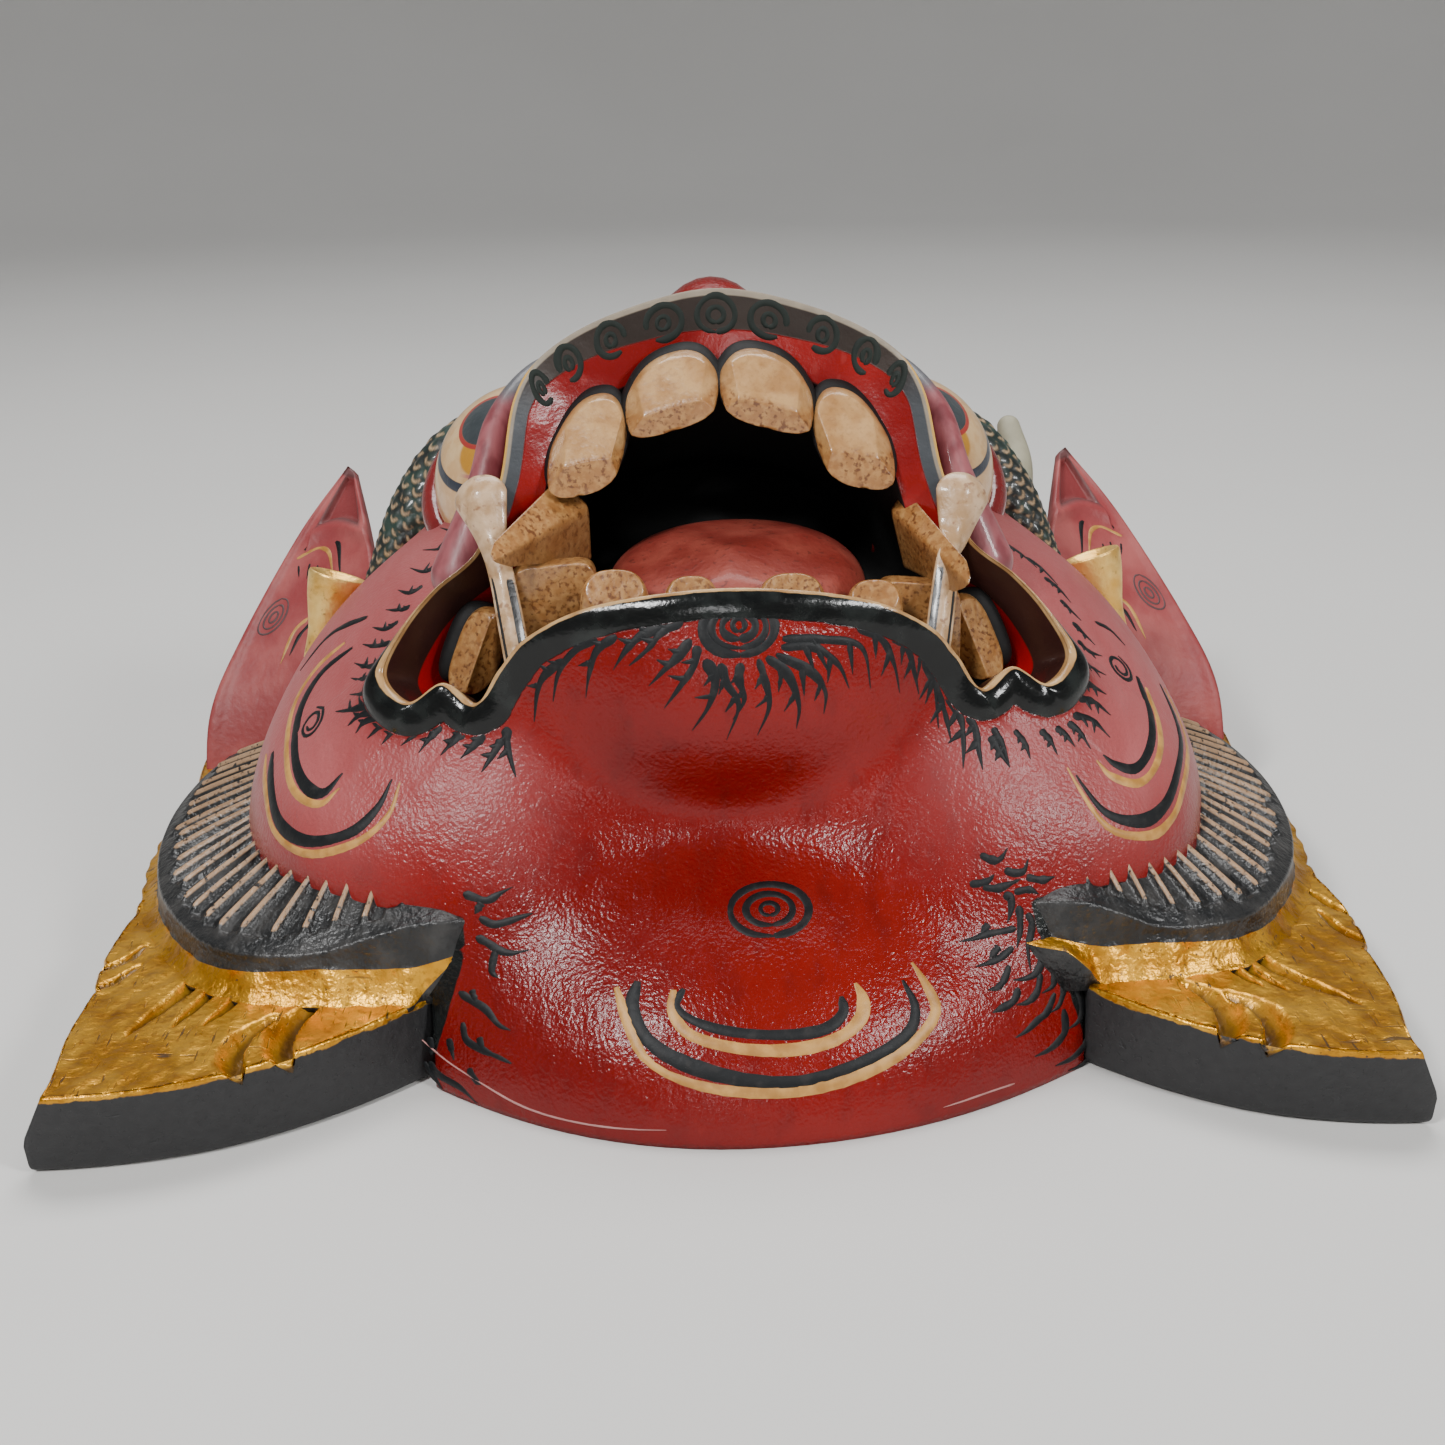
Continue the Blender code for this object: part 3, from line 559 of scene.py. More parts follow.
def carved(name, material, patches, closed=True):
    """One piece from grids of points, each with its values. Closed grids are joined round their rows,
    their poles are welded and their faces turned outwards."""
    points, quads, layers, start = [], [], {}, 0
    for grid, values in patches:
        rows, cols = grid.shape[:2]
        number = np.arange(rows * cols).reshape(rows, cols) + start
        quads.append(quads_over(number, False, closed))
        points.append(placed(grid).reshape(-1, 3))
        for key, value in values.items():
            layers.setdefault(key, []).append(np.broadcast_to(value, (rows, cols)).ravel())
        start += rows * cols
    layers = {key: np.concatenate(value) for key, value in layers.items()}
    piece = meshed(name, np.vstack(points), np.vstack(quads), layers, material)
    if closed:
        work = bmesh.new()
        work.from_mesh(piece.data)
        bmesh.ops.remove_doubles(work, verts=work.verts, dist=2e-6)
        bmesh.ops.recalc_face_normals(work, faces=work.faces)
        work.to_mesh(piece.data)
        work.free()
    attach(piece, "root")
    return piece


ivory, u = new_finish("ivory_paint")
bevel, shade = u.attribute("bevel"), u.attribute("shade")
mottle, grain = u.noise(170.0, 4.0), u.noise(500.0, 3.0)
colour = u.mix(mottle.step(0.3, 0.7), (0.36, 0.175, 0.056), (0.52, 0.30, 0.120))
warm = u.mix(grain.step(0.4, 0.65), (0.29, 0.115, 0.028), (0.42, 0.205, 0.062))
colour = u.mix(bevel * 0.8, colour, warm)
specks = u.noise(850.0, 3.0).step(0.50, 0.66) * (0.2 + 0.8 * bevel) * u.noise(95.0).step(0.34, 0.54)
colour = u.mix(specks * 0.9, colour, (0.115, 0.034, 0.008))
colour = u.mix(shade, colour, (0.070, 0.026, 0.012))
normal = u.bump(grain, 0.0004, 0.5, u.bump(mottle, 0.0009, 0.5))
u.finish(colour, 0.24 + 0.25 * grain, normal, coat=0.5)


def capped(rings, values):
    """Rings closed at both ends on their middles, and their values carried along."""
    rings = np.concatenate([rings[:1].mean(1, keepdims=True) + 0 * rings[:1], rings,
                            rings[-1:].mean(1, keepdims=True) + 0 * rings[:1]])
    return rings, {key: np.pad(value, ((1, 1), (0, 0)), mode="edge") for key, value in values.items()}


def upper_tooth(centre, axes, square, cuts=()):
    """A lump whose top is arched, its corners drawn down, and the places on it in the lump's own terms."""
    grid = lump(centre, axes, square, cuts)
    local = (grid - np.array(centre)) @ np.linalg.inv(np.array(axes, float))
    drop = np.clip(local[..., 2] + 0.3, 0, 1) * np.abs(local[..., 0]) ** 2.2 * 0.42
    return grid - drop[..., None] * np.array(axes[2], float), local


FRONT_CUTS = (
    (0.0, -0.87, 0.5, 0.66), (0.0, -0.8, -0.6, 0.64), (0.9, -0.42, 0.1, 0.86), (-0.9, -0.42, 0.1, 0.86))
# The black socket behind each upper tooth, a black outline that also paints the shade between tooth and gum:
# how far back it stands, and its size next to the tooth's.
SOCKET_BACK, SOCKET_SIZE = (0, 3.6, 1.0), ((1.09,), (0.6,), (1.07,))
upper, outlines = [], []
for side in (1, -1):
    for centre, axes, square in (
            ((side * 11.8, 99.5, 154.6), ((11.7, 0, -side * 3.2), (0, 7, 2.5), (0, 4.5, 8.4)), 0.66),
            ((side * 32.8, 96, 142.6), ((9.6, 0, -side * 1.6), (0, 7, 2.5), (-side * 2.6, 6, 11)), 0.72)):
        grid, local = upper_tooth(centre, axes, square, FRONT_CUTS)
        bite = np.clip((-local[..., 2] + 0.06) * 10, 0, 1)
        sides = np.clip((np.abs(local[..., 0]) - 0.80) * 5, 0, 1) * 0.35
        behind = np.clip((local[..., 1] + 0.1) * 1.2, 0, 1)
        upper.append((grid, {"bevel": bite, "shade": np.maximum(sides, behind)}))
        grid, _ = upper_tooth(np.array(centre) + SOCKET_BACK, np.array(axes) * SOCKET_SIZE, square)
        outlines.append((grid, {}))
    # Beside the tooth in each corner of the mouth: a black outline that is also a painted shade.
    grid = lump((side * 65.0, 87.0, 95.5), ((5.4, 0, side), (0, 4, 0), (-side * 4.0, 2, 9.8)), 0.7)
    outlines.append((grid, {}))
carved("upper_teeth", ivory, upper)
outline_and_shade_black, u = new_finish("outline_and_shade_black")
worn = u.noise(200.0, 3.0)
u.finish(u.mix(worn, (0.004, 0.004, 0.004), (0.010, 0.009, 0.009)), 0.5 + 0.2 * worn,
         u.bump(worn, 0.0006, 0.5), specular=0.25)
carved("tooth_sockets", outline_and_shade_black, outlines)

# Each fang: the corners of its root and of its tip, from its upper edge over its ridge to its lower edge.
FANGS = {-1: (((-40.8, 99, 135.3), (-33.4, 96, 127.2), (-33.3, 98, 112.1)),
              ((-57.0, 68, 124.7), (-55.6, 66, 121.9), (-53.6, 68, 119.6))),
         1: (((46.8, 99, 129.5), (42.5, 96, 124.3), (46.6, 98, 107.5)),
             ((59.4, 67, 116.9), (58.5, 65, 113.2), (56.0, 67, 109.9)))}
fangs = []
for side in (1, -1):
    share = np.linspace(0, 1, 60)[:, None, None]
    root, tip = np.array(FANGS[side])
    corner = root * (1 - share) + tip * share
    edge = np.arange(48) / 16
    number, part = edge.astype(int), (edge % 1)[:, None]
    ring = corner[:, number] * (1 - part) + corner[:, (number + 1) % 3] * part
    for _ in range(3):
        ring = 0.5 * ring + 0.25 * (np.roll(ring, 1, 1) + np.roll(ring, -1, 1))
    middle = ring.mean(1, keepdims=True)
    ring = middle + (ring - middle) * np.sqrt(ramp(share, 1.02, 0.9))
    below = np.broadcast_to(np.clip((edge - 1) * 6, 0, 1) * np.clip((3 - edge) * 6, 0, 1), ring.shape[:2])
    ring = ring if side > 0 else ring[:, ::-1]
    below = below if side > 0 else below[:, ::-1]
    fangs.append(capped(ring, {"bevel": 1 - 0.3 * below, "shade": 0.42 * below}))
carved("fangs", ivory, fangs)

bone, u = new_finish("bone_paint")
mottle, grain = u.noise(210.0, 4.0), u.noise(650.0, 3.0)
colour = u.mix(mottle.step(0.35, 0.65), (0.40, 0.235, 0.110), (0.60, 0.41, 0.25))
colour = u.mix(u.noise(480.0, 2.0).step(0.6, 0.7) * 0.7, colour, (0.24, 0.11, 0.05))
colour = u.mix((u.attribute("stripe") + 0.3 * (grain - 0.5)).step(0.4, 0.6), colour, (0.008, 0.008, 0.008))
u.finish(colour, 0.3 + 0.2 * grain, u.bump(grain, 0.0004, 0.5, u.bump(mottle, 0.001, 0.6)), coat=0.45)
TUSK_PATH = ((50.5, 66, 94), (52.5, 71.5, 105), (54.5, 77, 115), (57, 84.5, 123), (59.5, 89.5, 131.5))
tusks = []
for side in (1, -1):
    low = 2.5 * (side > 0)
    path = [(side * x, y, z - low * (z > 120)) for x, y, z in TUSK_PATH]
    grid = bar(path, (2.9, 2.9, 2.8, 3.6, 6.0), flat=0.55, ridges=0.16)
    spin = np.linspace(0, 360, 48, endpoint=False)
    inner_line, outer_line = (222, 322) if side < 0 else (318, 218)
    stripe = np.maximum(np.clip(2.0 - np.abs(spin - inner_line) / 16, 0, 1),
                        np.clip(1.4 - np.abs(spin - outer_line) / 12, 0, 1))
    tusks.append((grid, {"stripe": stripe * ramp(grid[..., 2], 116, 114)}))
carved("tusks", bone, tusks)

# Each lower front tooth: where it stands across the mouth, its half width and height, and its middle's level.
LOWER_FRONT = ((-27, 8.5, 11.0, 107), (-8.5, 7.0, 9.6, 107), (15.5, 8.5, 9.4, 107), (36, 7, 9.0, 104))
lower_row = []
for x, wide, tall, high in LOWER_FRONT:
    axes = ((wide, 0, 0), (0, 4.5, 0), (0, 0, tall))
    grid = lump((x, 66.5 + 0.004 * x * x, high), axes, 0.75, ((0, -0.6, 0.8, 0.8),))
    lower_row.append((grid, {"bevel": 1.0, "shade": ramp(grid[..., 2], 106, 98)}))
for side, x, wide, high in ((1, 48, 10.5, 98), (-1, -42.5, 11, 105)):
    grid = lump((x, 82, high), ((wide, 0, -side), (0, 5, 0), (0, 0, 12)), 0.36, ((0, -1, 0, 0.7),))
    lower_row.append((grid, {"bevel": 0.9, "shade": 0.12}))
    grid = lump((side * 61.5, 83.0, 94.5), ((6.0, 0, side), (0, 6, 0), (-side * 4.0, 2, 10.0)), 0.6,
                ((side * 0.6, -0.8, 0, 0.6), (-side * 0.7, -0.7, 0, 0.5)))
    inner = ramp(side * grid[..., 0], 60, 57)
    lower_row.append((grid, {"bevel": 1.0, "shade": 0.5 * inner}))
carved("lower_teeth", ivory, lower_row)


# The tongue: a broad rounded hump carved behind the lower teeth and painted a dusty red.
tongue_red, u = new_finish("tongue_red")
mottle, specks = u.noise(90.0, 4.0), u.noise(620.0, 2.0)
colour = u.mix(mottle.step(0.35, 0.65), (0.20, 0.024, 0.016), (0.28, 0.050, 0.033))
colour = u.mix(specks.step(0.62, 0.70) * 0.75, colour, (0.12, 0.020, 0.014))
u.finish(colour, 0.42 + 0.2 * mottle, u.bump(specks, 0.0004, 0.6, u.bump(mottle, 0.0012, 0.5)), coat=0.15)
TONGUE_CUTS = ((0, 0, 1, 0.90), (0.35, -0.45, 0.8, 0.90), (-0.45, -0.40, 0.8, 0.90))
grid = lump((3.5, 99, 106), ((33, 0, 0), (0, 32, 0), (0, 0, 15.5)), 0.92, TONGUE_CUTS)
carved("tongue", tongue_red, [(grid - (0, 0, 1.6), {})])


# The eyes: bulging balls painted in rings and varnished, each in a rolled lid, with the smile fold that
# runs down beside the nose to the corner of the mouth.
EYE_CENTRE, EYE_RADIUS = np.array((51.0, 164.0, 118.0)), 28.3
eye_paint, u = new_finish("eye_paint")
off, sector = u.attribute("off_iris"), u.maths("ABSOLUTE", u.attribute("sector"))
cream = u.mix(u.noise(120.0, 3.0), (0.52, 0.30, 0.12), (0.70, 0.50, 0.27))
colour = u.mix(u.noise(300.0, 3.0).step(0.4, 0.6) * 0.4, cream, (0.50, 0.25, 0.08))
colour = u.mix(u.attribute("off_spot").step(13.5, 11.0), colour, (0.46, 0.215, 0.018))
iris = u.mix(u.noise(200.0), (0.020, 0.027, 0.032), (0.050, 0.060, 0.064))
colour = u.mix(off.step(17.6, 17.0), colour, iris)
colour = u.mix(off.step(17.0, 17.5) * off.step(20.2, 19.7), colour, (0.33, 0.030, 0.024))
colour = u.mix(off.step(34.0, 34.6) * off.step(36.6, 36.0) * sector.step(60, 40), colour, (0.42, 0.13, 0.13))
colour = u.mix(off.step(39.5, 40.1) * off.step(46.0, 45.0), colour, (0.016, 0.023, 0.040))
u.finish(colour, 0.28 + 0.15 * u.noise(300.0), u.bump(u.noise(400.0), 0.0004, 0.5), coat=0.5)
fold_pink, u = new_finish("fold_pink")
streak = u.noise(220.0, 3.0, place=u.place((1.0, 1.0, 0.25)))
colour = u.mix(streak.step(0.35, 0.65), (0.18, 0.036, 0.044), (0.31, 0.088, 0.098))
colour = u.mix(u.attribute("grey_line"), colour, (0.10, 0.10, 0.11))
u.finish(colour, 0.35 + 0.2 * streak, u.bump(streak, 0.0006, 0.7), coat=0.25)
lid_red, u = new_finish("lid_red")
patch = u.noise(110.0, 3.0)
colour = u.mix(patch, (0.115, 0.0060, 0.0070), (0.22, 0.016, 0.015))
colour = u.mix(u.attribute("ochre_line"), colour, (0.42, 0.20, 0.045))
u.finish(colour, 0.16 + 0.15 * patch, u.bump(u.noise(260.0, 3.0), 0.0008, 0.8), coat=0.8, coat_rough=0.06)


def clear_of_mouth(grid, side):
    """Keeps what is buried in the block out of the way behind the mouth."""
    across = np.maximum(side * grid[..., 0], np.where(grid[..., 2] < 128, 42, 0))
    return np.dstack([side * across, grid[..., 1:]])


FOLD_PATH = ((67, 97, 110), (60, 104, 131), (56, 114, 146), (46, 128, 156), (32, 146, 157))
balls, lids, folds = [], [], []
for side in (1, -1):
    centre = EYE_CENTRE * (side, 1, 1)
    grid = lump(centre, np.eye(3) * EYE_RADIUS, 1.0, (), 64, 110)
    gaze = unit(np.array((side * 0.404, -0.501, 0.766)))
    spot = unit(np.array((side * 0.503, -0.729, 0.464)))
    down = unit(np.cross(gaze, np.cross((0.0, -1.0, 0.0), gaze)))
    ray = unit(grid - centre)
    off_iris = np.degrees(np.arccos(np.clip(ray @ gaze, -1, 1)))
    sector = np.degrees(np.arctan2(ray @ np.cross(gaze, down) * side, ray @ down))
    off_spot = np.degrees(np.arccos(np.clip(ray @ spot, -1, 1)))
    balls.append((clear_of_mouth(grid, side), {"off_iris": off_iris, "sector": sector, "off_spot": off_spot}))
    look = unit(np.array((side * 0.3, -0.55, 0.78)))
    across = unit(np.cross((0.0, 1.0, 0.0), look))
    up = np.cross(look, across)
    spin = np.linspace(0, 2 * np.pi, 121)[:-1, None]
    ring = centre + 2.5 * look + 29.5 * (np.cos(spin) * across + np.sin(spin) * up)
    outward, turn = unit(ring - centre - 2.5 * look), np.linspace(0, 2 * np.pi, 28, endpoint=False)
    roll = np.cos(turn)[None, :, None] * outward[:, None] + np.sin(turn)[None, :, None] * look
    tube = ring[:, None] + 4.1 * roll
    inner_line = np.clip(1 - np.abs(np.degrees(turn) - 140) / 22, 0, 1)[None, :] + 0 * spin
    tube, inner_line = (np.vstack([part, part[:1]]) for part in (tube, inner_line))
    lids.append((clear_of_mouth(tube, side), {"ochre_line": inner_line}))
    grid = bar(np.array(FOLD_PATH) * (side, 1, 1), (7.2, 4.5, 3.5, 2.9, 2.1))
    folds.append((grid, {"grey_line": ramp(grid[..., 2], 150, 153)}))
carved("eyeballs", eye_paint, balls)
carved("eyelids", lid_red, lids)
carved("smile_folds", fold_pink, folds)


# The brows: heavy rolls carved with rows of scales, dark green with cream tips. One has a worn peg.
brow_green, u = new_finish("brow_green")
tip, ground = u.attribute("scale_tip"), u.noise(130.0, 3.0)
colour = u.mix(ground.step(0.4, 0.62), (0.005, 0.009, 0.008), (0.012, 0.036, 0.026))
# The middles of the scales are painted a lighter grey green: a painted sheen on each dome.
colour = u.mix(u.attribute("scale_dome").step(0.35, 0.9) * 0.5, colour, (0.026, 0.036, 0.030))
colour = u.mix(tip * u.noise(350.0).step(0.3, 0.5), colour, (0.50, 0.34, 0.19))
u.finish(colour, 0.38 + 0.2 * ground, u.bump(u.noise(500.0, 3.0), 0.0004, 0.6), coat=0.3)


def scaled_bar(path, radii):
    """A bar whose surface is two staggered lattices of round domes, each dome higher towards its tip.
    Also gives how near each point is to a dome's middle and to its far rim."""
    rows, cols, cell, raised = 226, 104, (6.4, 5.8), 1.15
    grid = bar(path, radii, rows=rows, cols=cols)
    middle = grid.mean(1, keepdims=True)
    size = np.linalg.norm(grid - middle, axis=-1)
    run = np.cumsum(np.r_[0, np.linalg.norm(np.diff(middle[:, 0], axis=0), axis=1)])[:, None]
    spin = np.linspace(0, 2 * np.pi, cols, endpoint=False)[None, :]
    count = round(2 * np.pi * max(radii) / cell[1])
    dome, tip = np.zeros(grid.shape[:2]), np.zeros(grid.shape[:2])
    for stagger in (0.0, 0.5):
        a = (run / cell[0] + stagger) % 1 - 0.5 + 0 * spin
        b = (spin / (2 * np.pi) * count + stagger + 0 * run) % 1 - 0.5
        far = np.hypot(a * 1.35, b * 1.5)
        here = np.clip(1 - far / 0.7, 0, 1) ** 0.7 * (0.75 + 0.5 * a)
        rim = np.clip(1 - np.abs(far - 0.42) / 0.16, 0, 1) * (a > 0.08) * np.clip(1.6 - 3.4 * np.abs(b), 0, 1)
        tip = np.where(here > dome, rim, tip)
        dome = np.maximum(dome, here)
    fade = np.clip(size / 3, 0, 1)
    return grid + unit(grid - middle) * (raised * fade * dome)[..., None], dome, tip


BROW_PATH = ((12, 198, 120), (42, 201, 127), (70, 194, 123), (86, 190, 107), (99, 184, 83))
brows = []
for side in (1, -1):
    grid, dome, tip = scaled_bar(np.array(BROW_PATH) * (side, 1, 1), (5.5, 9.0, 9.0, 8.5, 5.5))
    brows.append((grid, {"scale_tip": tip, "scale_dome": dome}))
carved("brows", brow_green, brows)
peg_paint, u = new_finish("peg_grey")
wear = u.noise(160.0, 4.0)
u.finish(u.mix(wear, (0.22, 0.20, 0.13), (0.36, 0.34, 0.25)), 0.5 + 0.2 * wear, u.bump(wear, 0.0006, 0.5))
peg = bar(((90, 197, 98), (95, 214, 108), (94, 224, 118)), (7, 5, 3.6))
carved("peg", peg_paint, [(peg, {})])


# The side boards: flat stock glued to each side of the block, its leaf edge gouged, gilded above and
# painted black on its edges and back.
# Points round a board's outline, and the levels of its leafed top and of the foot of its rounded rim.
BOARD_COLUMNS, BOARD_LEVEL, RIM_FOOT = 600, 22.0, 20.6


def board_outline(side):
    """Plan of a board as if on the right: the near edge, the long outer edge with its notch, the far end
    and the seam, which is nearer to the outer edge on the right."""
    seam, near_rise = (84, 37) if side > 0 else (74, 43)
    near_x = np.linspace(seam, 156 if side < 0 else 152, 60)
    share = (near_x[-1] - near_x) / (near_x[-1] - seam)
    near = np.stack([near_x, -5 + near_rise * share**2.2], 1)
    out_y = np.linspace(-3, 212, 170)
    notch = 2.4 * np.exp(-((out_y - 100) / 2.2) ** 2) + 1.2 * ramp(out_y, 100, 125)
    nick = 1.1 * (np.exp(-((out_y - 47) / 1.6) ** 2) + np.exp(-((out_y - 61) / 1.6) ** 2))
    low_end = 1.5 * ramp(out_y, 90, 60) + 1.2 * np.exp(-((out_y + 5) / 8) ** 2)
    wave = 1.6 * np.abs(np.sin(np.clip(out_y, 0, None) * 0.07))
    shorter = 4.2 * ramp(out_y, 50, 0) * (side > 0)
    out = np.stack([154 + 0.045 * (out_y - 10) + wave + low_end - notch - nick - shorter, out_y], 1)
    turn = np.radians(np.linspace(4, 90, 24))
    far = np.stack([seam + (out[-1, 0] - seam) * np.cos(turn), 212 + 55 * np.sin(turn)], 1)
    loop = np.vstack([near, out, far, [(seam, near_rise - 5)]])
    run = np.r_[0, np.cumsum(np.linalg.norm(np.diff(np.vstack([loop, loop[:1]]), axis=0), axis=1))]
    even = np.linspace(0, run[-1], BOARD_COLUMNS, endpoint=False)
    return np.stack([np.interp(even, run, np.append(loop[:, k], loop[0, k])) for k in (0, 1)], 1)


# Each cut: its depth, the width of its gentle side and of its steep side, and its line.
GOUGES = {
    -1: (
        (4.2, 6.5, -1.0, ((100, 36), (104, 25), (104, 14), (99, 4))),
        (3.8, 5.5, -1.0, ((110, 29), (114.5, 19), (114.5, 9), (110, 0))),
        (2.6, 3.6, -1.2, ((127, 64), (134, 44), (143, 23))),
        (2.0, 2.6, -1.0, ((123, 59), (128, 41), (133, 27))),
        (1.6, 2.2, -0.9, ((118, 54), (121, 38), (126, 27))),
        (2.0, 2.0, -0.8, ((161, 45), (154, 51), (149, 60))),
        (2.0, 2.0, -0.8, ((161, 57), (154, 62), (150, 71))),
        (2.2, 2.4, -0.8, ((161, 99), (156, 104), (151, 110)))),
    1: (
        (4.2, 6.5, -1.0, ((107, 31), (111, 22), (111, 12), (105, 1))),
        (4.0, 6.0, -1.0, ((116, 25), (120.5, 17), (120, 6), (113, -4))),
        (2.6, 3.6, -1.2, ((125, 55), (131, 36), (145, 19))),
        (2.0, 2.6, -1.0, ((122, 49), (125, 36), (130, 27))),
        (1.4, 2.0, -0.9, ((119, 44), (121, 36), (125, 29))),
        (2.0, 2.2, -0.8, ((152, 82), (155, 72), (161, 64))),
        (2.0, 2.2, -0.8, ((151, 69), (153, 57), (160, 47))),
        (2.2, 2.4, -0.8, ((161, 99), (156, 104), (151, 110))))}


def side_board(side):
    """One board as rings of its outline: from the middle of its back out to the edge, up the side and
    over the rim, then in over the gilded top to the middle. Gouges are valleys along their lines."""
    loop = board_outline(side)
    heart = np.stack([np.full(BOARD_COLUMNS, 113.0), np.clip(loop[:, 1], 55, 215)], 1)
    size = np.linalg.norm(heart - loop, axis=1)[:, None]
    inward = (heart - loop) / size
    rows, high = [], []
    for share in (1.0, 0.6, 0.25, 0.08):
        rows.append(loop + (heart - loop) * share)
        high.append(0.0)
    for turn in np.radians((0, 18, 36, 54, 72, 90)):
        rows.append(loop + inward * 2.6 * (1 - np.sin(turn)))
        high.append(2.6 * (1 - np.cos(turn)))
    for z in np.linspace(4, RIM_FOOT, 9):
        rows.append(loop)
        high.append(z)
    for turn in np.radians((22, 45, 68, 90)):
        rows.append(loop + inward * 1.3 * (1 - np.cos(turn)))
        high.append(20.7 + 1.3 * np.sin(turn))
    for share in np.linspace(0.02, 1, 70) ** 1.1:
        rows.append(loop + (heart - loop) * share)
        high.append(BOARD_LEVEL)
    plan = np.array(rows)
    level = np.repeat(np.array(high)[:, None], BOARD_COLUMNS, 1)
    lean = 5 * np.clip(1 - plan[..., 1] / 40, 0, 1) * np.clip(1 - level / BOARD_LEVEL, 0, 1)
    plan[..., 1] += lean
    tip = ramp(plan[..., 0], 125, 155) * np.clip(1 - plan[..., 1] / 30, 0, 1)
    plan[..., 0] += 6 * tip * ramp(level, 21, 9)
    ripple = np.sin(plan[..., 0] * 0.9 + 2 * np.sin(plan[..., 1] * 0.13))
    ripple = 0.18 * ripple * np.sin(plan[..., 1] * 0.31 + 1)
    chipped = np.random.default_rng(7 + side).normal(0, 1, BOARD_COLUMNS)
    chipped = np.convolve(np.r_[chipped, chipped[:6]], np.ones(7) / 7, "valid")[:BOARD_COLUMNS] * 0.7
    top = level > RIM_FOOT
    fade = np.clip(np.linalg.norm(plan - loop, axis=-1) / 2, 0, 1)
    cut, pit = np.zeros(level.shape), np.zeros(level.shape)
    for depth, wide, steep, line in GOUGES[side]:
        curve = through([(*p, 0) for p in line], 60)[:, :2]
        gap, which = to_line(plan.reshape(-1, 2), curve)
        tangent = unit(np.gradient(curve, axis=0))[which]
        away = plan.reshape(-1, 2) - curve[which]
        lean_side = tangent[:, 1] * away[:, 0] - tangent[:, 0] * away[:, 1]
        along = which / 59
        full = np.sin(np.pi * np.clip(0.12 + 0.8 * along, 0, 1)) ** 0.8
        reach_side = np.where(lean_side > 0, abs(steep), wide) * full
        valley = np.clip(1 - gap / np.maximum(reach_side, 0.05), 0, 1).reshape(level.shape) * top
        cut = np.maximum(cut, 1.3 * depth * full.reshape(level.shape) * valley)
        # Each valley is dark, and its steep side darker again: a painted shade.
        dark = valley + 0.35 * (lean_side > 0).reshape(level.shape) * (valley > 0.02)
        pit = np.maximum(pit, dark * np.clip(full * 2, 0, 1).reshape(level.shape))
    level = level + top * (ripple * fade + chipped * (1 - fade) * 0.5) - cut
    grid = np.dstack([plan[..., 0] * side, plan[..., 1], level])
    return grid, {"gilded": level + cut * 0.9 - RIM_FOOT + chipped * 0.9, "pit": pit}


def gilding(u):
    """Worn leaf gold over brown ground: its colour, and how dark it goes: bare ground in pores, cracks and
    the pits of the gouges, and painted shade on the gouges' steep sides.
    """
    wear, fine = u.noise(70.0, 4.0), u.noise(420.0, 4.0)
    pores = u.noise(1000.0, 2.0, place=u.place((1.0, 0.10, 1.0))).step(0.63, 0.70)
    pores = pores * u.noise(40.0).step(0.35, 0.55)
    cracks = u.noise(300.0, 2.0, place=u.place((0.12, 1.0, 1.0))).step(0.67, 0.71)
    cracks = cracks * u.noise(30.0).step(0.45, 0.62)
    bright = u.mix(wear.step(0.35, 0.65), (0.50, 0.215, 0.010), (0.82, 0.42, 0.035))
    bright = u.mix(fine.step(0.52, 0.68) * 0.5, bright, (0.24, 0.080, 0.006))
    bright = u.mix(u.noise(150.0, 3.0).step(0.58, 0.72) * 0.4, bright, (0.13, 0.040, 0.006))
    bare_and_shaded = pores.most(cracks).most(u.attribute("pit").step(0.2, 0.7) * 0.92)
    return u.mix(bare_and_shaded * 0.9, bright, (0.020, 0.009, 0.004)), bare_and_shaded, wear, fine


gold_leaf, u = new_finish("leaf_gold")
bright, bare_and_shaded, wear, fine = gilding(u)
soot = u.mix(fine, (0.009, 0.009, 0.010), (0.024, 0.024, 0.025))
on_top = (u.attribute("gilded") + 1.6 * fine - 0.8).step(-0.25, 0.25)
u.finish(u.mix(on_top, soot, bright), 0.62 - on_top * (0.42 - 0.25 * fine),
         u.bump(fine, 0.0005, 0.7, u.bump(wear - bare_and_shaded, 0.0010, 0.5)), on_top * (0.84 - 0.75 * bare_and_shaded))
for side, node in ((-1, "left_board"), (1, "right_board")):
    board = carved(node + "_leaf", gold_leaf, [side_board(side)])
    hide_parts(node)


# The fans: crescents that stand on the boards round each cheek, cut into thin ribs with a gouge and painted
# black, with a cream line along each rib.
RIBS = 25
# Places along the crescent from its low end: plan of its rim, height of the rim's foot and of its top, and
# the place where its ribs meet the cheek.
FAN_LINE = (
    (62, 41, 34, 41, 66, 70, 46), (70, 38, 32.5, 42, 68, 63, 48), (78, 38.5, 30.5, 41, 74, 57.5, 49),
    (89, 39, 30.1, 37.7, 84, 56, 50), (99, 39.5, 30.3, 34.5, 92, 56, 50),
    (111, 41, 29.3, 33.2, 100, 59.5, 48), (123, 46, 27.6, 32.6, 106, 64, 47),
    (134, 57.5, 26, 32, 113, 76, 46), (146.5, 81, 24.5, 31.5, 119.5, 93, 46),
    (153.5, 107, 24, 31.5, 122.5, 110, 46), (156, 135, 24, 31.5, 124, 130, 46),
    (154, 162, 24, 31.5, 123, 149, 46), (149.4, 181.5, 24, 31.5, 119.6, 165, 46))


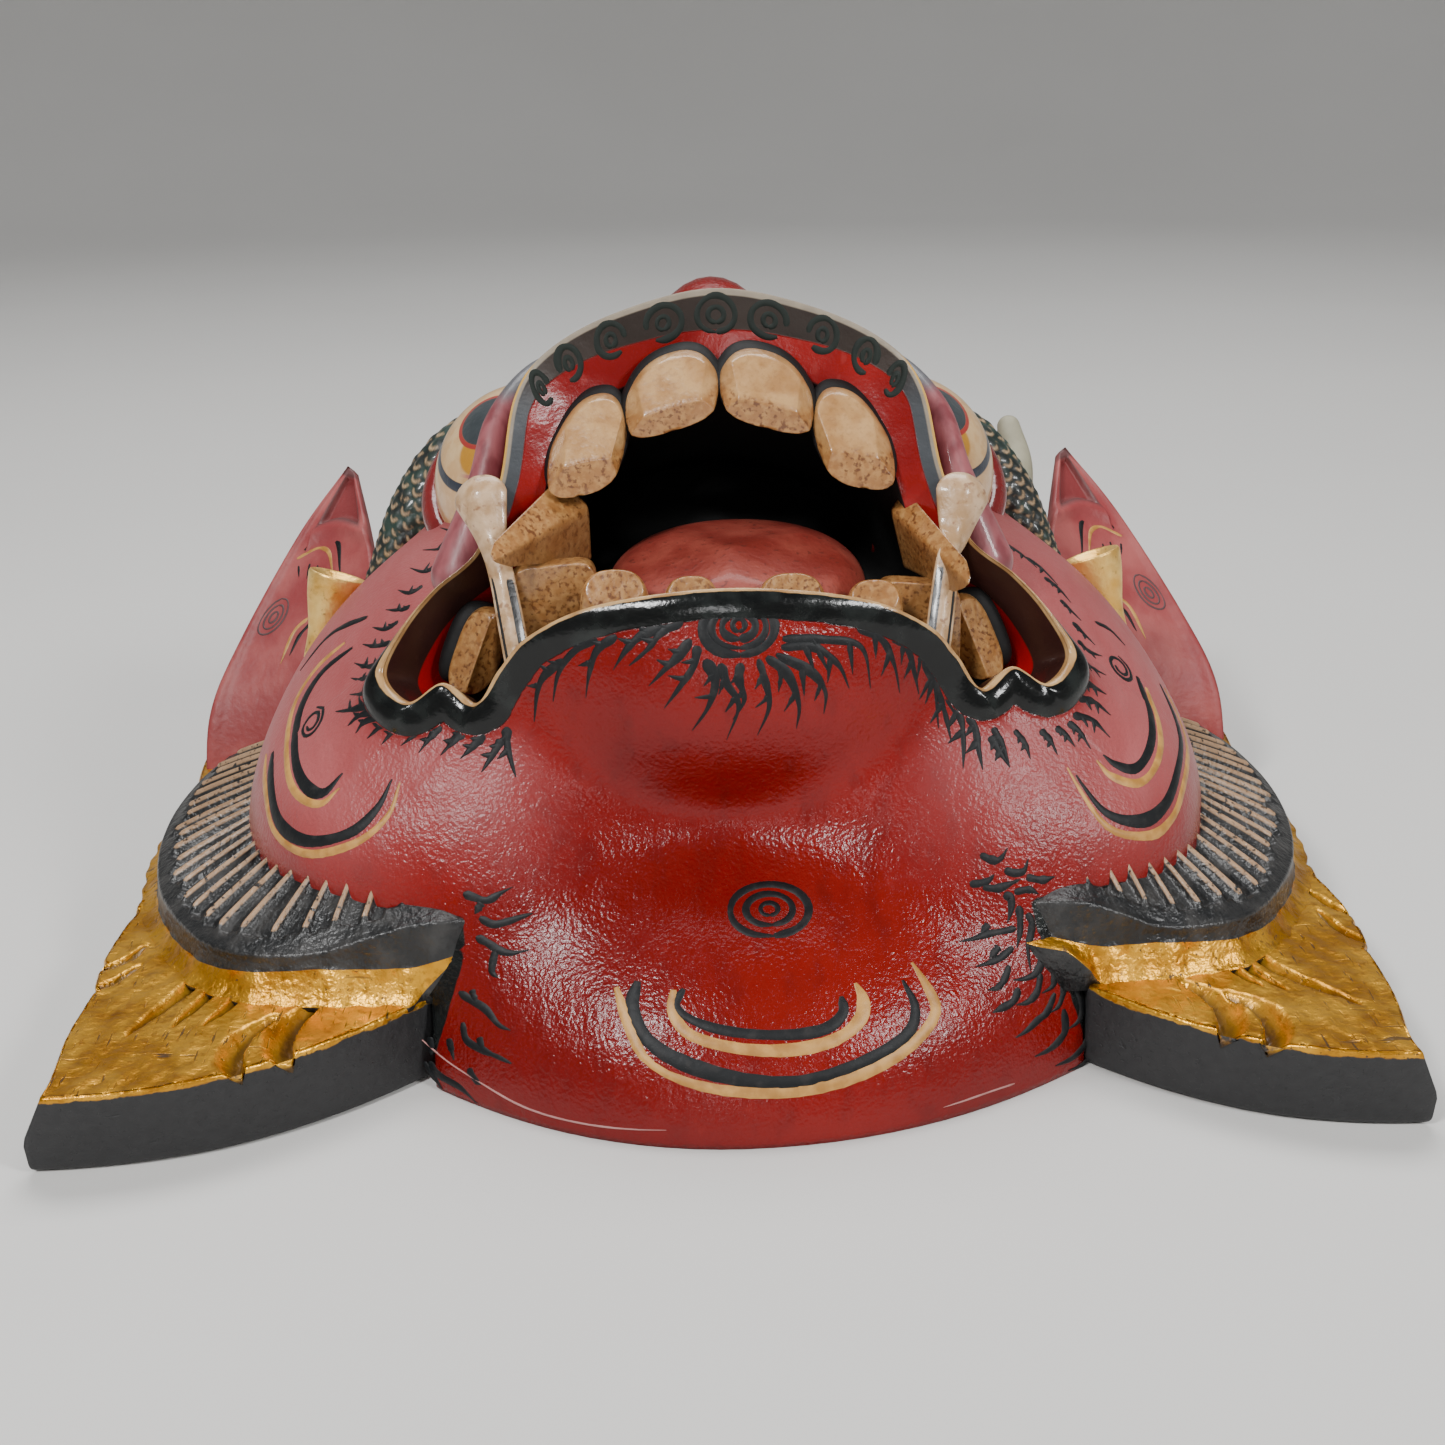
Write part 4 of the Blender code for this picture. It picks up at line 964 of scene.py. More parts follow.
def fan(side):
    """A crescent whose top falls outwards from the cheek and carries a thin ridge per rib, with a dug
    channel on either side. Its wall drops to a wavy foot, and a gilded bank slopes on to the board."""
    random = np.random.default_rng(21 + side)
    line = through(FAN_LINE, 600)
    run = np.r_[0, np.cumsum(np.linalg.norm(np.diff(line[:, :2], axis=0), axis=1))]
    line[:, (0, 4)] += ramp(line[:, :1], 110, 75) * ((8, 4) if side > 0 else (0, 0))
    place = np.linspace(0, RIBS, RIBS * 14 + 1)
    out_x, out_y, foot, top, near_x, near_y, near_z = (
        np.interp(place / RIBS * run[-1], run, value)[:, None] for value in line.T)
    number = np.minimum(place.astype(int), RIBS - 1)
    shift = random.uniform(-0.12, 0.12, RIBS)[number]
    ends = (0.93 + random.uniform(-0.07, 0.03, RIBS) - 0.45 * np.exp(-np.arange(RIBS) / 2.6))[number]
    across = np.linspace(0, 1, 34)
    ridge_top = np.exp(-((place - number - 0.5 - shift) / 0.13) ** 2)[:, None]
    length = np.clip((ends[:, None] - across) / 0.05, 0, 1) * np.clip(across / 0.04, 0, 1)
    fall = near_z + (top - near_z) * (across * 0.9 + 0.1 * across**3)
    high = fall + length * (1.5 * ridge_top - 1.7 * (1 - ridge_top) * np.clip(across * 3, 0, 1))
    out, near = np.hstack([out_x, out_y]), np.hstack([near_x, near_y])
    plan = near[:, None] + (out - near)[:, None] * across[:, None]
    tangent = unit(np.gradient(out, axis=0))
    outward = np.stack([tangent[:, 1], -tangent[:, 0]], 1)
    wave = (0.5 * np.sin(place * 4.1) * np.sin(place * 1.3 + side))[:, None]
    rows, level, gilt = [plan], [high], [0 * high]

    def ring_out(shift, height, gold):
        rows.append((out + outward * shift)[:, None])
        level.append(height)
        gilt.append(np.full((len(out), 1), gold))

    for turn in np.radians((20, 45, 70, 90)):
        ring_out(0.9 * np.sin(turn), top - 1.2 * (1 - np.cos(turn)), 0.0)
    for share in np.linspace(0.2, 1, 6):
        ring_out(0.9 + 0.6 * share**2, top - 1.2 - (top - 1.2 - foot) * share, 0.0)
    seam, near_rise, tip = (84, 37, 152) if side > 0 else (74, 43, 156)
    edge = -5 + near_rise * np.clip((tip - out_x) / (tip - seam), 0, 1) ** 2.2
    width = np.clip(out_y - 1.5 - edge, 0, 4.3)
    base = np.minimum(21.9 + 1.15 * np.clip(seam + 3 - out_x, 0, None), foot - 1)
    for share in (0.06, 0.3, 0.5, 0.7, 0.85, 1.0):
        ring_out(1.5 + wave * (width / 4.3) + width * share, base + (foot - base) * (1 - share) ** 1.5, 1.0)
    ring_out(1.5 + wave * (width / 4.3) + width, base - 0.4, 0.0)
    ring_out(1.5 + wave * (width / 4.3) + width, 20.5 + 0 * top, 0.0)
    for share in (0.8, 0.4, 0.0):
        rows.append((near + (out - near) * share)[:, None])
        level.append(20.5 + 0 * top)
        gilt.append(0 * top)
    plan, high = np.concatenate(rows, 1), np.concatenate(level, 1)
    rib = np.pad(ridge_top * length, ((0, 0), (0, high.shape[1] - len(across))))
    return capped(np.dstack([plan[..., 0] * side, plan[..., 1], high]),
                  {"rib": rib, "gilt": np.concatenate(gilt, 1), "pit": 0 * high})


fan_black, u = new_finish("fan_black")
worn, fine = u.noise(150.0, 3.0), u.noise(700.0, 3.0)
black = u.mix(worn.step(0.4, 0.7), (0.009, 0.0095, 0.010), (0.030, 0.029, 0.028))
cream = u.mix(u.noise(220.0, 3.0), (0.24, 0.135, 0.070), (0.46, 0.30, 0.18))
line = u.attribute("rib").step(0.55, 0.72) * fine.step(0.30, 0.44)
bright, bare_and_shaded, _, leaf_fine = gilding(u)
gilt = (u.attribute("gilt") + 0.5 * (leaf_fine - 0.5)).step(0.4, 0.6)
u.finish(u.mix(gilt, u.mix(line, black, cream), bright), 0.26 + 0.2 * worn,
         u.bump(fine, 0.0006, 0.7, u.bump(worn, 0.0014, 0.5)), gilt * (0.84 - 0.75 * bare_and_shaded))
carved("fans", fan_black, [fan(side) for side in (1, -1)])


# The ears: thin hollowed plates that lean outwards from the boards to a point, lacquered red with a pink
# painted sheen that is weaker at the foot, and with a sunk dark triangle near the tip.
EAR_OUTER = through(((161, 193, 14), (159, 202, 38), (150, 215, 58), (132, 236, 87), (117, 250, 105)), 101)
EAR_INNER = through(((104, 176, 40), (104, 192, 66), (108, 216, 88), (115.5, 248, 104)), 101)
EAR_FACING = unit(np.cross(EAR_OUTER[0] - EAR_INNER[0], EAR_INNER[-1] - EAR_INNER[0]))


def ear_at(across, up, raised=0.0):
    """Places on the front of the right ear: straight lines between its edges, hollowed towards its foot."""
    outer, inner = (np.stack([np.interp(up * 100, np.arange(101), edge[:, k]) for k in range(3)], -1)
                    for edge in (EAR_OUTER, EAR_INNER))
    deep = -20 * (1 - up) * across * (1 - across) + raised
    return inner + (outer - inner) * across[..., None] + EAR_FACING * deep[..., None]


def ear(side):
    """Rings round the plate: over its front, where the triangle is sunk and the rim is raised, and back."""
    up, across = np.meshgrid(np.linspace(0, 1, 110), np.linspace(0, 1, 70), indexing="ij")
    low = 0.74 + 0.05 * np.sin(np.pi * across)
    inside = np.minimum(np.minimum((up - low) * 60, (across - 0.10) * 26), (0.80 - across) * 30) * (up < 0.97)
    sunk = np.clip(inside / 1.2, 0, 1)
    rim = 0.8 * np.exp(-((across - 0.97) / 0.035) ** 2)
    rim = rim + 1.6 * np.exp(-((up - low + 0.03) / 0.03) ** 2) * (across < 0.8)
    front = ear_at(across, up, rim - 2.2 * sunk)
    thick = (7 * (1 - 0.6 * up))[:, ::-3, None]
    back = ear_at(across[:, ::-3], up[:, ::-3]) - EAR_FACING * thick
    grid = np.concatenate([front, back], 1) * (side, 1, 1)
    hem = np.clip(1 - np.abs(inside) / 1.3, 0, 1)
    plain = 0 * back[..., 0]
    return capped(grid, {"sunk": np.hstack([sunk, plain]), "hem": np.hstack([hem, plain]),
                         "up": np.hstack([up, up[:, ::-3]])})


ear_red, u = new_finish("ear_red")
soft, fine = u.noise(60.0, 4.0), u.noise(420.0, 3.0)
# The pink in the lacquer is a painted sheen over the red. Towards the foot of the ear it gives way a little
# to plain red.
colour = u.mix(soft.step(0.35, 0.65), (0.25, 0.034, 0.036), (0.35, 0.080, 0.075))
colour = u.mix(u.attribute("up").step(0.45, 0.0) * 0.35, colour, (0.30, 0.030, 0.024))
colour = u.mix(u.attribute("sunk"), colour, u.mix(soft, (0.14, 0.014, 0.016), (0.22, 0.030, 0.030)))
colour = u.mix(u.attribute("hem") * 0.8, colour, (0.050, 0.028, 0.028))
u.finish(colour, 0.42 + 0.2 * soft, u.bump(fine, 0.0004, 0.6, u.bump(soft, 0.001, 0.3)))
carved("ears", ear_red, [ear(side) for side in (1, -1)])


# The ear plugs: gilded cones set in the ear lobes, wide and dished at the top.
plug_gold, u = new_finish("plug_gold")
wear, fine = u.noise(110.0, 4.0), u.noise(500.0, 3.0)
colour = u.mix(wear.step(0.3, 0.7), (0.78, 0.42, 0.08), (0.95, 0.66, 0.22))
colour = u.mix(fine.step(0.62, 0.75) * 0.6, colour, (0.30, 0.12, 0.03))
u.finish(colour, 0.28 + 0.25 * wear, u.bump(fine, 0.0004, 0.6, u.bump(wear, 0.0015, 0.4)), 0.8)
plugs = []
for side in (1, -1):
    stem = unit(np.array((-side * 0.30, 0.15, 0.94)))
    aim = unit(np.cross(stem, (0.0, 1.0, 0.0)))
    turned = np.cross(stem, aim)
    radius = np.array((0, 2.4, 3.4, 4.0, 4.6, 6.2, 7.6, 8.4, 8.5, 7.6, 5.5, 3.0, 0))
    height = np.array((-14, -14, -13.0, -8, -1, 5, 10, 14.5, 16.4, 16.6, 15.4, 14.3, 14.0))
    radius, height = (through([(v, 0, 0) for v in values], 60)[:, 0] for values in (radius, height))
    spin = np.linspace(0, 2 * np.pi, 64, endpoint=False)
    ring = np.cos(spin)[:, None] * aim + np.sin(spin)[:, None] * turned * 0.82
    plugs.append((np.array((side * 115, 168, 75.0)) + height[:, None, None] * stem
                  + radius.clip(0)[:, None, None] * ring, {}))
carved("ear_plugs", plug_gold, plugs)


# The crest: five pointed leaves along the crown, each with a raised vein, gilded and worn.
columns = 5 * 40 + 1
place = np.linspace(0, 5, columns)
leaf = 1 - np.abs((place % 1) * 2 - 1)
angle = np.radians(-46 + 92 * place / 5)
radius = 157 + 30 * leaf**0.6
out = np.stack([0.62 * radius * np.sin(angle), 130 + radius * np.cos(angle)], 1)
near = np.stack([84 * np.sin(angle), 130 + 104 * np.cos(angle)], 1)
share = np.linspace(0, 1, 30)
veined = 2.2 * leaf[:, None] ** 4 - 1.2 * (1 - leaf[:, None]) ** 3
rise = 44 - 22.5 * share + np.clip(share * (1 - share) * 5, 0, 1) * veined
plan = near[:, None] + (out - near)[:, None] * share[:, None]
low = plan[:, ::-4]
grid = np.concatenate([np.dstack([plan, rise]), np.dstack([low, np.full(low.shape[:2], 0.6)])], 1)
vein = np.hstack([1 - leaf[:, None] + 0 * share, 0 * low[..., 0]])
shape = {"gilded": grid[..., 2] - 18, "pit": np.clip(vein - 0.85, 0, 1) / 0.15}
carved("crest", gold_leaf, [capped(grid, shape)])


# The painted patterns: flames round the chin's ring, fern strokes on the sides of the throat, a double
# smile, curls on the cheeks and ears, and scrolls inside the arch, all brushed on by hand in thick paint.
def painted(name, material, lines, at, side=1):
    """Brush strokes on the surface that at(a, b, raised) gives. Each line is its width in millimetres, the
    share of its length over which it thins to a point, and its places. A stroke is five points across,
    and its edges are sunk a little into the ground."""
    random = np.random.default_rng(len(lines))
    t = np.linspace(0, 1, 30)
    a, b, wide = [], [], []
    for width, thin, points in lines:
        points = np.array(points, float)
        points[:, 0] = np.unwrap(points[:, 0], period=360) if at is face_degrees else points[:, 0]
        curve = through([(*p, 0) for p in points], 30)
        a.append(curve[:, 0])
        b.append(curve[:, 1])
        wobble = 1 + 0.13 * np.interp(t, np.linspace(0, 1, 9), random.normal(0, 1, 9))
        ends = np.clip((t + 0.02) / 0.10, 0, 1) ** 0.5 * np.clip((1.03 - t) / thin, 0, 1) ** 0.8
        wide.append(width * wobble * ends)
    a, b, wide = np.array(a), np.array(b), np.array(wide)
    step = 0.4 if at is face_degrees else 0.004
    here = at(a, b, 0)
    along = unit(np.gradient(here, axis=1))
    up = unit(at(a, b, 1.0) - here)
    over = np.cross(along, up)
    by_a, by_b = (at(a + step, b, 0) - here) / step, (at(a, b + step, 0) - here) / step
    aa, ab, bb = (by_a * by_a).sum(-1), (by_a * by_b).sum(-1), (by_b * by_b).sum(-1)
    da, db = (by_a * over).sum(-1), (by_b * over).sum(-1)
    span = aa * bb - ab * ab
    move_a, move_b = (bb * da - ab * db) / span, (aa * db - ab * da) / span
    columns = []
    for offset, raised in ((-0.5, -0.08), (-0.38, 0.10), (0.0, 0.16), (0.38, 0.10), (0.5, -0.08)):
        columns.append(at(a + move_a * wide * offset, b + move_b * wide * offset, raised))
    strips = np.stack(columns, 2) * (side, 1, 1)
    if side < 0:
        strips = strips[:, :, ::-1]
    return carved(name, material, [(strip, {}) for strip in strips], closed=False)


def face_degrees(spin, polar, raised):
    return face_at(np.radians(spin), np.radians(polar), raised + 0 * spin)


def ring(a, b, wide_a, wide_b, width, turns=1.0, start=90, shrink=0.0):
    """A painted ring or curl round (a, b), which draws in as it turns."""
    angle = np.radians(start + 360 * turns * np.linspace(0, 1, 13))
    size = 1 - shrink * np.linspace(0, 1, 13)
    return width, 0.06, tuple(zip(a + wide_a * size * np.cos(angle), b + wide_b * size * np.sin(angle)))


# Each stroke: places along it as spin round the mouth's axis and angle away from it, both in degrees.
CHIN_FLAMES = (
    ((256.0, 19.1), (250.6, 20.3), (247.8, 21.9), (243.5, 23.8)),
    ((250.1, 20.0), (245.2, 21.0), (242.0, 22.5), (239.6, 24.6)),
    ((238.3, 21.8), (234.4, 23.5), (233.8, 25.4), (234.1, 27.7)),
    ((233.3, 22.7), (228.6, 24.7), (226.3, 27.0), (226.4, 29.5)),
    ((226.6, 25.8), (223.2, 27.9), (222.4, 29.7), (223.4, 32.3)),
    ((258.9, 20.6), (255.8, 22.2), (252.8, 23.4), (249.3, 25.0)),
    ((261.0, 21.1), (260.2, 22.8), (257.1, 24.6), (253.6, 26.5)),
    ((263.2, 22.2), (265.9, 23.8), (264.4, 25.9), (260.5, 27.9)),
    ((267.2, 22.5), (268.8, 24.1), (271.6, 25.9), (268.6, 28.5)),
    ((-87.4, 22.5), (-88.1, 23.8), (-87.0, 25.5), (-89.9, 27.0)),
    ((-82.7, 22.3), (-81.5, 24.1), (-81.0, 26.2), (-84.1, 28.3)),
    ((-80.5, 22.2), (-75.8, 23.8), (-73.7, 26.4), (-74.7, 28.3)),
    ((-77.8, 22.1), (-70.0, 24.0), (-66.8, 26.0), (-67.8, 27.8)),
    ((-76.2, 21.6), (-67.6, 22.2), (-62.2, 24.3), (-60.6, 26.6)),
    ((-75.4, 20.9), (-64.5, 21.9), (-55.0, 23.8), (-55.2, 27.4)),
    ((-54.3, 22.3), (-49.3, 24.1), (-47.9, 26.6), (-48.2, 29.2)),
    ((-46.8, 24.5), (-43.7, 26.3), (-43.5, 28.3), (-43.8, 30.5)),
    ((-43.4, 25.7), (-40.2, 28.2), (-39.9, 31.0), (-42.7, 34.8)),
    ((-40.9, 28.2), (-39.7, 31.1), (-40.2, 33.9), (-42.1, 36.9)),
    ((-38.5, 32.4), (-38.3, 35.4), (-40.2, 37.6), (-43.4, 40.2)),
    ((-37.0, 35.7), (-37.5, 37.6), (-39.3, 39.6), (-41.0, 41.7)),
    ((-36.3, 39.3), (-36.8, 41.1), (-37.4, 43.4)), ((219.0, 34.6), (221.0, 36.3), (225.1, 38.7)),
    ((219.4, 36.1), (219.6, 37.9), (219.9, 40.4)), ((216.4, 36.8), (216.2, 38.6), (215.8, 40.6)),
    ((213.3, 37.7), (213.0, 39.5), (212.9, 41.7)))
THROAT_FERNS = (
    ((309.8, 49.1), (310.5, 50.1), (311.6, 50.6), (313.6, 50.0)),
    ((311.2, 51.8), (312.0, 52.6), (313.3, 52.9), (314.9, 52.1)),
    ((305.8, 51.5), (307.2, 51.9), (308.5, 52.0), (309.6, 51.7)),
    ((307.1, 52.4), (308.7, 53.2), (310.6, 53.4), (312.2, 53.5)),
    ((313.0, 53.6), (314.5, 54.7), (316.2, 55.1)), ((310.3, 54.4), (312.2, 54.9), (312.9, 55.8)),
    ((308.9, 54.1), (309.4, 54.8), (308.5, 55.9), (307.0, 57.0)),
    ((307.5, 57.9), (306.2, 57.7), (303.7, 57.2), (301.9, 57.1), (299.7, 56.8)),
    ((304.7, 56.3), (302.9, 56.9)), ((309.7, 55.9), (308.7, 57.3), (307.4, 58.7), (306.0, 59.8)),
    ((310.0, 57.0), (309.8, 58.1), (308.7, 59.2), (307.2, 60.4), (305.7, 62.6)),
    ((305.6, 59.6), (303.4, 60.0), (301.6, 60.0), (299.6, 59.8)), ((304.1, 58.9), (301.9, 59.6)),
    ((303.7, 61.1), (302.1, 62.1), (300.6, 62.6), (299.3, 62.4)),
    ((310.0, 59.9), (308.7, 61.5), (307.2, 62.6), (305.8, 63.1), (304.3, 63.0), (302.9, 62.6)),
    ((303.1, 63.6), (301.7, 64.6), (299.7, 64.7), (298.5, 64.7)),
    ((306.6, 63.3), (305.1, 64.9), (303.4, 65.4), (301.8, 65.1)),
    ((310.0, 61.8), (308.7, 63.6), (307.9, 64.6), (307.2, 65.2), (305.6, 65.3)),
    ((307.2, 66.0), (305.3, 67.4), (303.7, 67.7), (301.8, 68.1), (300.1, 68.2)),
    ((308.9, 63.9), (308.7, 65.8), (307.2, 67.4), (305.7, 67.7)),
    ((307.5, 68.1), (306.8, 70.3), (305.6, 71.1), (303.7, 71.4), (301.7, 71.2)),
    ((309.6, 64.8), (310.2, 67.4), (309.9, 69.4), (308.8, 70.4), (307.2, 70.5)),
    ((310.4, 72.2), (309.2, 73.4), (306.9, 74.1), (304.2, 73.7)),
    ((312.0, 71.3), (311.5, 73.0), (310.2, 74.8), (308.6, 75.9), (305.9, 75.4)),
    ((227.3, 53.3), (228.7, 53.2), (230.7, 52.9), (231.9, 51.6), (233.2, 50.3)),
    ((230.1, 53.4), (229.9, 54.9)),
    ((230.7, 55.1), (232.8, 55.2), (234.5, 54.3), (236.0, 53.3), (237.4, 52.4)),
    ((231.3, 57.3), (232.9, 57.4), (235.0, 57.7), (236.8, 57.5), (239.0, 56.5)),
    ((234.5, 58.0), (235.1, 60.1), (236.3, 60.6)),
    ((231.8, 63.9), (233.7, 64.1), (236.2, 64.3), (238.7, 65.2), (240.6, 65.2)),
    ((233.4, 63.0), (234.8, 64.4)),
    ((233.7, 66.8), (235.0, 68.4), (237.8, 68.5), (240.2, 68.4), (242.0, 68.4)),
    ((236.6, 67.4), (237.8, 68.8)), ((229.6, 70.4), (230.4, 72.4)), ((232.4, 69.3), (233.9, 71.3)),
    ((230.2, 73.4), (232.1, 74.2), (235.4, 74.1), (238.2, 74.8)),
    ((229.4, 73.9), (231.0, 74.8), (232.7, 75.8)), ((236.2, 71.3), (237.5, 72.1), (238.4, 72.3)))
CHEEK_TICKS = (
    ((150.0, 34.0), (150.0, 38.3), (146.0, 43.5)), ((156.8, 35.7), (156.8, 38.3), (154.8, 41.8)),
    ((163.4, 36.7), (165.1, 37.9), (161.3, 41.2)), ((170.3, 37.3), (171.3, 38.7), (168.4, 41.0)),
    ((176.0, 38.3), (175.5, 39.7), (173.4, 41.8)), ((179.0, 39.6), (179.3, 41.3), (176.7, 43.3)),
    ((184.0, 40.6), (182.5, 42.6), (180.0, 44.4)), ((189.0, 41.6), (186.5, 43.8), (183.5, 45.5)),
    ((193.8, 41.6), (191.0, 43.6), (186.7, 46.0)), ((197.5, 41.6), (195.5, 43.6), (191.9, 45.8)),
    ((198.8, 43.2), (195.8, 45.9), (192.7, 48.1)), ((200.8, 42.7), (198.1, 45.3), (197.7, 47.1)),
    ((202.6, 42.2), (199.7, 45.1), (199.8, 46.8)), ((204.2, 41.9), (202.4, 44.0), (202.0, 46.1)),
    ((205.6, 41.4), (204.5, 43.5), (204.5, 45.3)), ((207.8, 40.4), (207.3, 41.8), (206.8, 43.9)),
    ((209.6, 39.3), (209.5, 41.2), (209.8, 43.1)), ((23.1, 36.3), (21.2, 37.5), (17.0, 38.6)),
    ((19.2, 38.2), (16.6, 39.4), (12.6, 40.6)), ((15.6, 39.9), (13.4, 41.3), (8.9, 42.6)),
    ((9.9, 40.9), (8.0, 42.4), (4.9, 43.6)), ((4.2, 42.0), (2.7, 42.9), (0.8, 44.4)),
    ((-1.0, 43.0), (-2.5, 44.3), (-3.9, 45.9)), ((-5.5, 43.4), (-6.6, 44.9), (-5.7, 46.8)),
    ((-13.5, 42.5), (-12.6, 44.5), (-11.2, 46.7)), ((-18.3, 42.9), (-17.1, 44.8), (-16.1, 46.8)),
    ((-21.0, 43.8), (-19.1, 45.9), (-18.8, 48.2)), ((-23.8, 44.5), (-21.9, 46.6), (-22.1, 49.3)),
    ((-25.1, 44.6), (-24.9, 46.3), (-25.8, 48.3)), ((-27.1, 43.9), (-26.8, 45.2), (-27.3, 46.9)),
    ((-29.2, 42.8), (-29.3, 44.3), (-30.3, 46.0)), ((-32.5, 40.7), (-32.8, 42.5), (-34.1, 44.2)),
    ((-35.1, 38.8), (-35.8, 41.0), (-37.4, 43.4)))
# Each curl also has its width in millimetres and the share of its length over which it thins out.
BLACK_CURLS = (
    (3.5, 0.15, ((255.8, 56.7), (255.8, 59.4), (258.7, 62.4), (264.4, 64.4), (272.8, 65.9), (278.5, 65.8),
        (287.0, 64.0), (289.7, 61.6), (289.9, 58.5))),
    (3.0, 0.1, ((262.3, 56.9), (261.5, 58.8), (265.5, 60.4), (272.8, 61.4), (278.5, 61.5), (281.3, 60.3),
        (281.8, 58.6))),
    (2.9, 0.3, ((172.6, 44.6), (169.5, 51.6), (171.7, 56.8))),
    (3.9, 0.35, ((187.3, 58.6), (194.2, 59.1), (200.5, 59.5), (206.3, 57.8), (210.4, 54.1), (211.0, 50.3),
        (209.6, 47.1))),
    (3.6, 0.3, ((179.1, 45.9), (179.8, 50.9), (184.5, 53.7), (193.5, 54.5), (199.8, 54.5), (203.3, 53.3),
        (203.3, 50.4))),
    (3.6, 0.35, ((0.5, 57.6), (-7.5, 59.2), (-16.7, 58.3), (-24.3, 57.9), (-29.2, 56.6), (-32.0, 53.4),
        (-30.6, 48.9))),
    (3.2, 0.3, ((-4.4, 52.2), (-11.7, 53.5), (-18.7, 53.9), (-23.3, 53.3), (-25.0, 51.4), (-25.2, 49.7))),
    (2.1, 0.4, ((3.0, 46.8), (3.8, 49.4), (2.3, 51.5))))
OCHRE_CURLS = (
    (2.9, 0.15, ((253.0, 57.7), (255.8, 61.1), (258.7, 64.2), (264.4, 66.0), (272.8, 66.9), (280.0, 66.6),
        (286.9, 65.1), (291.6, 62.8), (292.4, 60.2), (292.2, 57.1))),
    (3.6, 0.2, ((260.9, 57.1), (261.5, 59.7), (264.4, 61.6), (272.8, 62.9), (279.3, 62.7), (283.0, 61.2),
        (284.2, 59.3), (284.0, 57.6))),
    (2.5, 0.25, ((185.3, 60.4), (193.5, 60.3), (200.1, 60.8), (207.1, 58.9), (211.8, 54.6), (212.9, 50.2),
        (210.9, 46.8))),
    (2.5, 0.25, ((176.1, 47.4), (177.1, 52.3), (181.5, 55.2), (192.1, 55.8), (199.3, 55.9), (204.1, 54.3),
        (204.7, 51.6))),
    (2.5, 0.25, ((1.5, 59.1), (-6.0, 61.1), (-17.2, 59.7), (-24.5, 59.4), (-29.7, 58.2), (-33.4, 54.3),
        (-30.7, 47.7))),
    (2.5, 0.25, ((-5.4, 53.5), (-12.8, 54.9), (-19.1, 55.3), (-24.7, 54.4), (-26.9, 51.8),
        (-26.6, 49.5))))

brush_black, u = new_finish("brush_black")
thin = u.noise(300.0, 3.0)
u.finish(u.mix(thin.step(0.5, 0.75), (0.004, 0.005, 0.006), (0.016, 0.015, 0.015)), 0.42 + 0.2 * thin,
         u.bump(thin, 0.0003, 0.7), specular=0.3)
brush_ochre, u = new_finish("brush_ochre")
thin = u.noise(240.0, 3.0)
u.finish(u.mix(thin.step(0.35, 0.65), (0.36, 0.165, 0.030), (0.52, 0.27, 0.065)), 0.35 + 0.2 * thin,
         u.bump(thin, 0.0003, 0.7))
rings = [ring(272.6, 19.5, 10.6, 2.35, 2.9), ring(272.6, 19.5, 8.0, 1.75, 2.0),
         ring(272.6, 19.4, 4.9, 1.1, 2.3), ring(272.6, 19.3, 1.8, 0.55, 1.6),
         ring(275.2, 48.1, 6.4, 3.3, 2.5), ring(275.2, 48.1, 3.8, 2.0, 2.3), ring(275.2, 48.1, 1.4, 0.8, 1.6),
         ring(190.2, 51.6, 3.0, 1.9, 1.2, 1.7, 200, 0.6), ring(-5.4, 49.4, 2.8, 1.9, 1.2, 1.7, 0, 0.6)]


def barbed(width, line):
    """A flame stroke with two short barbs that leave it on one side."""
    curve = through([(*p, 0) for p in line], 21)[:, :2]
    squeeze = np.array((np.sin(np.radians(curve[10, 1])), 1.0))
    yield width, 0.75, line
    for number in (5, 11):
        run = (curve[number + 3] - curve[number]) * squeeze
        turned = np.array((run[0] * 0.55 - run[1] * 0.85, run[0] * 0.85 + run[1] * 0.55)) / squeeze
        yield width * 0.7, 0.8, [curve[number] + turned * far for far in (0.0, 0.8, 1.7)]


black = [stroke for width, lines in ((3.2, CHIN_FLAMES), (2.4, CHEEK_TICKS)) for line in lines
         for stroke in barbed(width, line)]
ferns = [(2.3, 0.5, line) for line in THROAT_FERNS]
painted("black_strokes", brush_black, [*black, *ferns, *BLACK_CURLS, *rings], face_degrees)
# Painted highlights: thin pale lines along the bevel at the foot of the throat, where the edge catches the
# light.
edge_highlight, u = new_finish("painted_edge_highlight")
thin = u.noise(300.0, 3.0)
u.finish(u.mix(thin, (0.30, 0.10, 0.09), (0.50, 0.27, 0.25)), 0.4 + 0.2 * thin)
FOOT_LINES = (
    (0.5, 0.2, ((228.5, 71.3), (232.8, 71.9), (238.4, 72.1), (245.1, 72.4), (253.0, 71.8),
        (261.5, 70.8))),
    (0.5, 0.3, ((298.4, 72.9), (294.9, 72.4), (289.7, 72.0))))
painted("edge_highlight_lines", edge_highlight, FOOT_LINES, face_degrees)
painted("ochre_strokes", brush_ochre, OCHRE_CURLS, face_degrees)
EAR_BLACK = (
    (2.4, 0.3, ((0.82, 0.7), (0.65, 0.73), (0.41, 0.71), (0.3, 0.6))),
    (1.4, 0.3, ((0.49, 0.48), (0.56, 0.45), (0.6, 0.39))), (0.9, 0.6, ((0.8, 0.66), (0.74, 0.63))),
    (0.9, 0.6, ((0.68, 0.66), (0.65, 0.62))), (0.9, 0.6, ((0.58, 0.65), (0.55, 0.61))))
EAR_CREAM = (
    (1.5, 0.3, ((0.86, 0.68), (0.66, 0.7), (0.49, 0.68), (0.38, 0.61))),
    (1.4, 0.3, ((0.52, 0.5), (0.61, 0.47), (0.65, 0.37))))
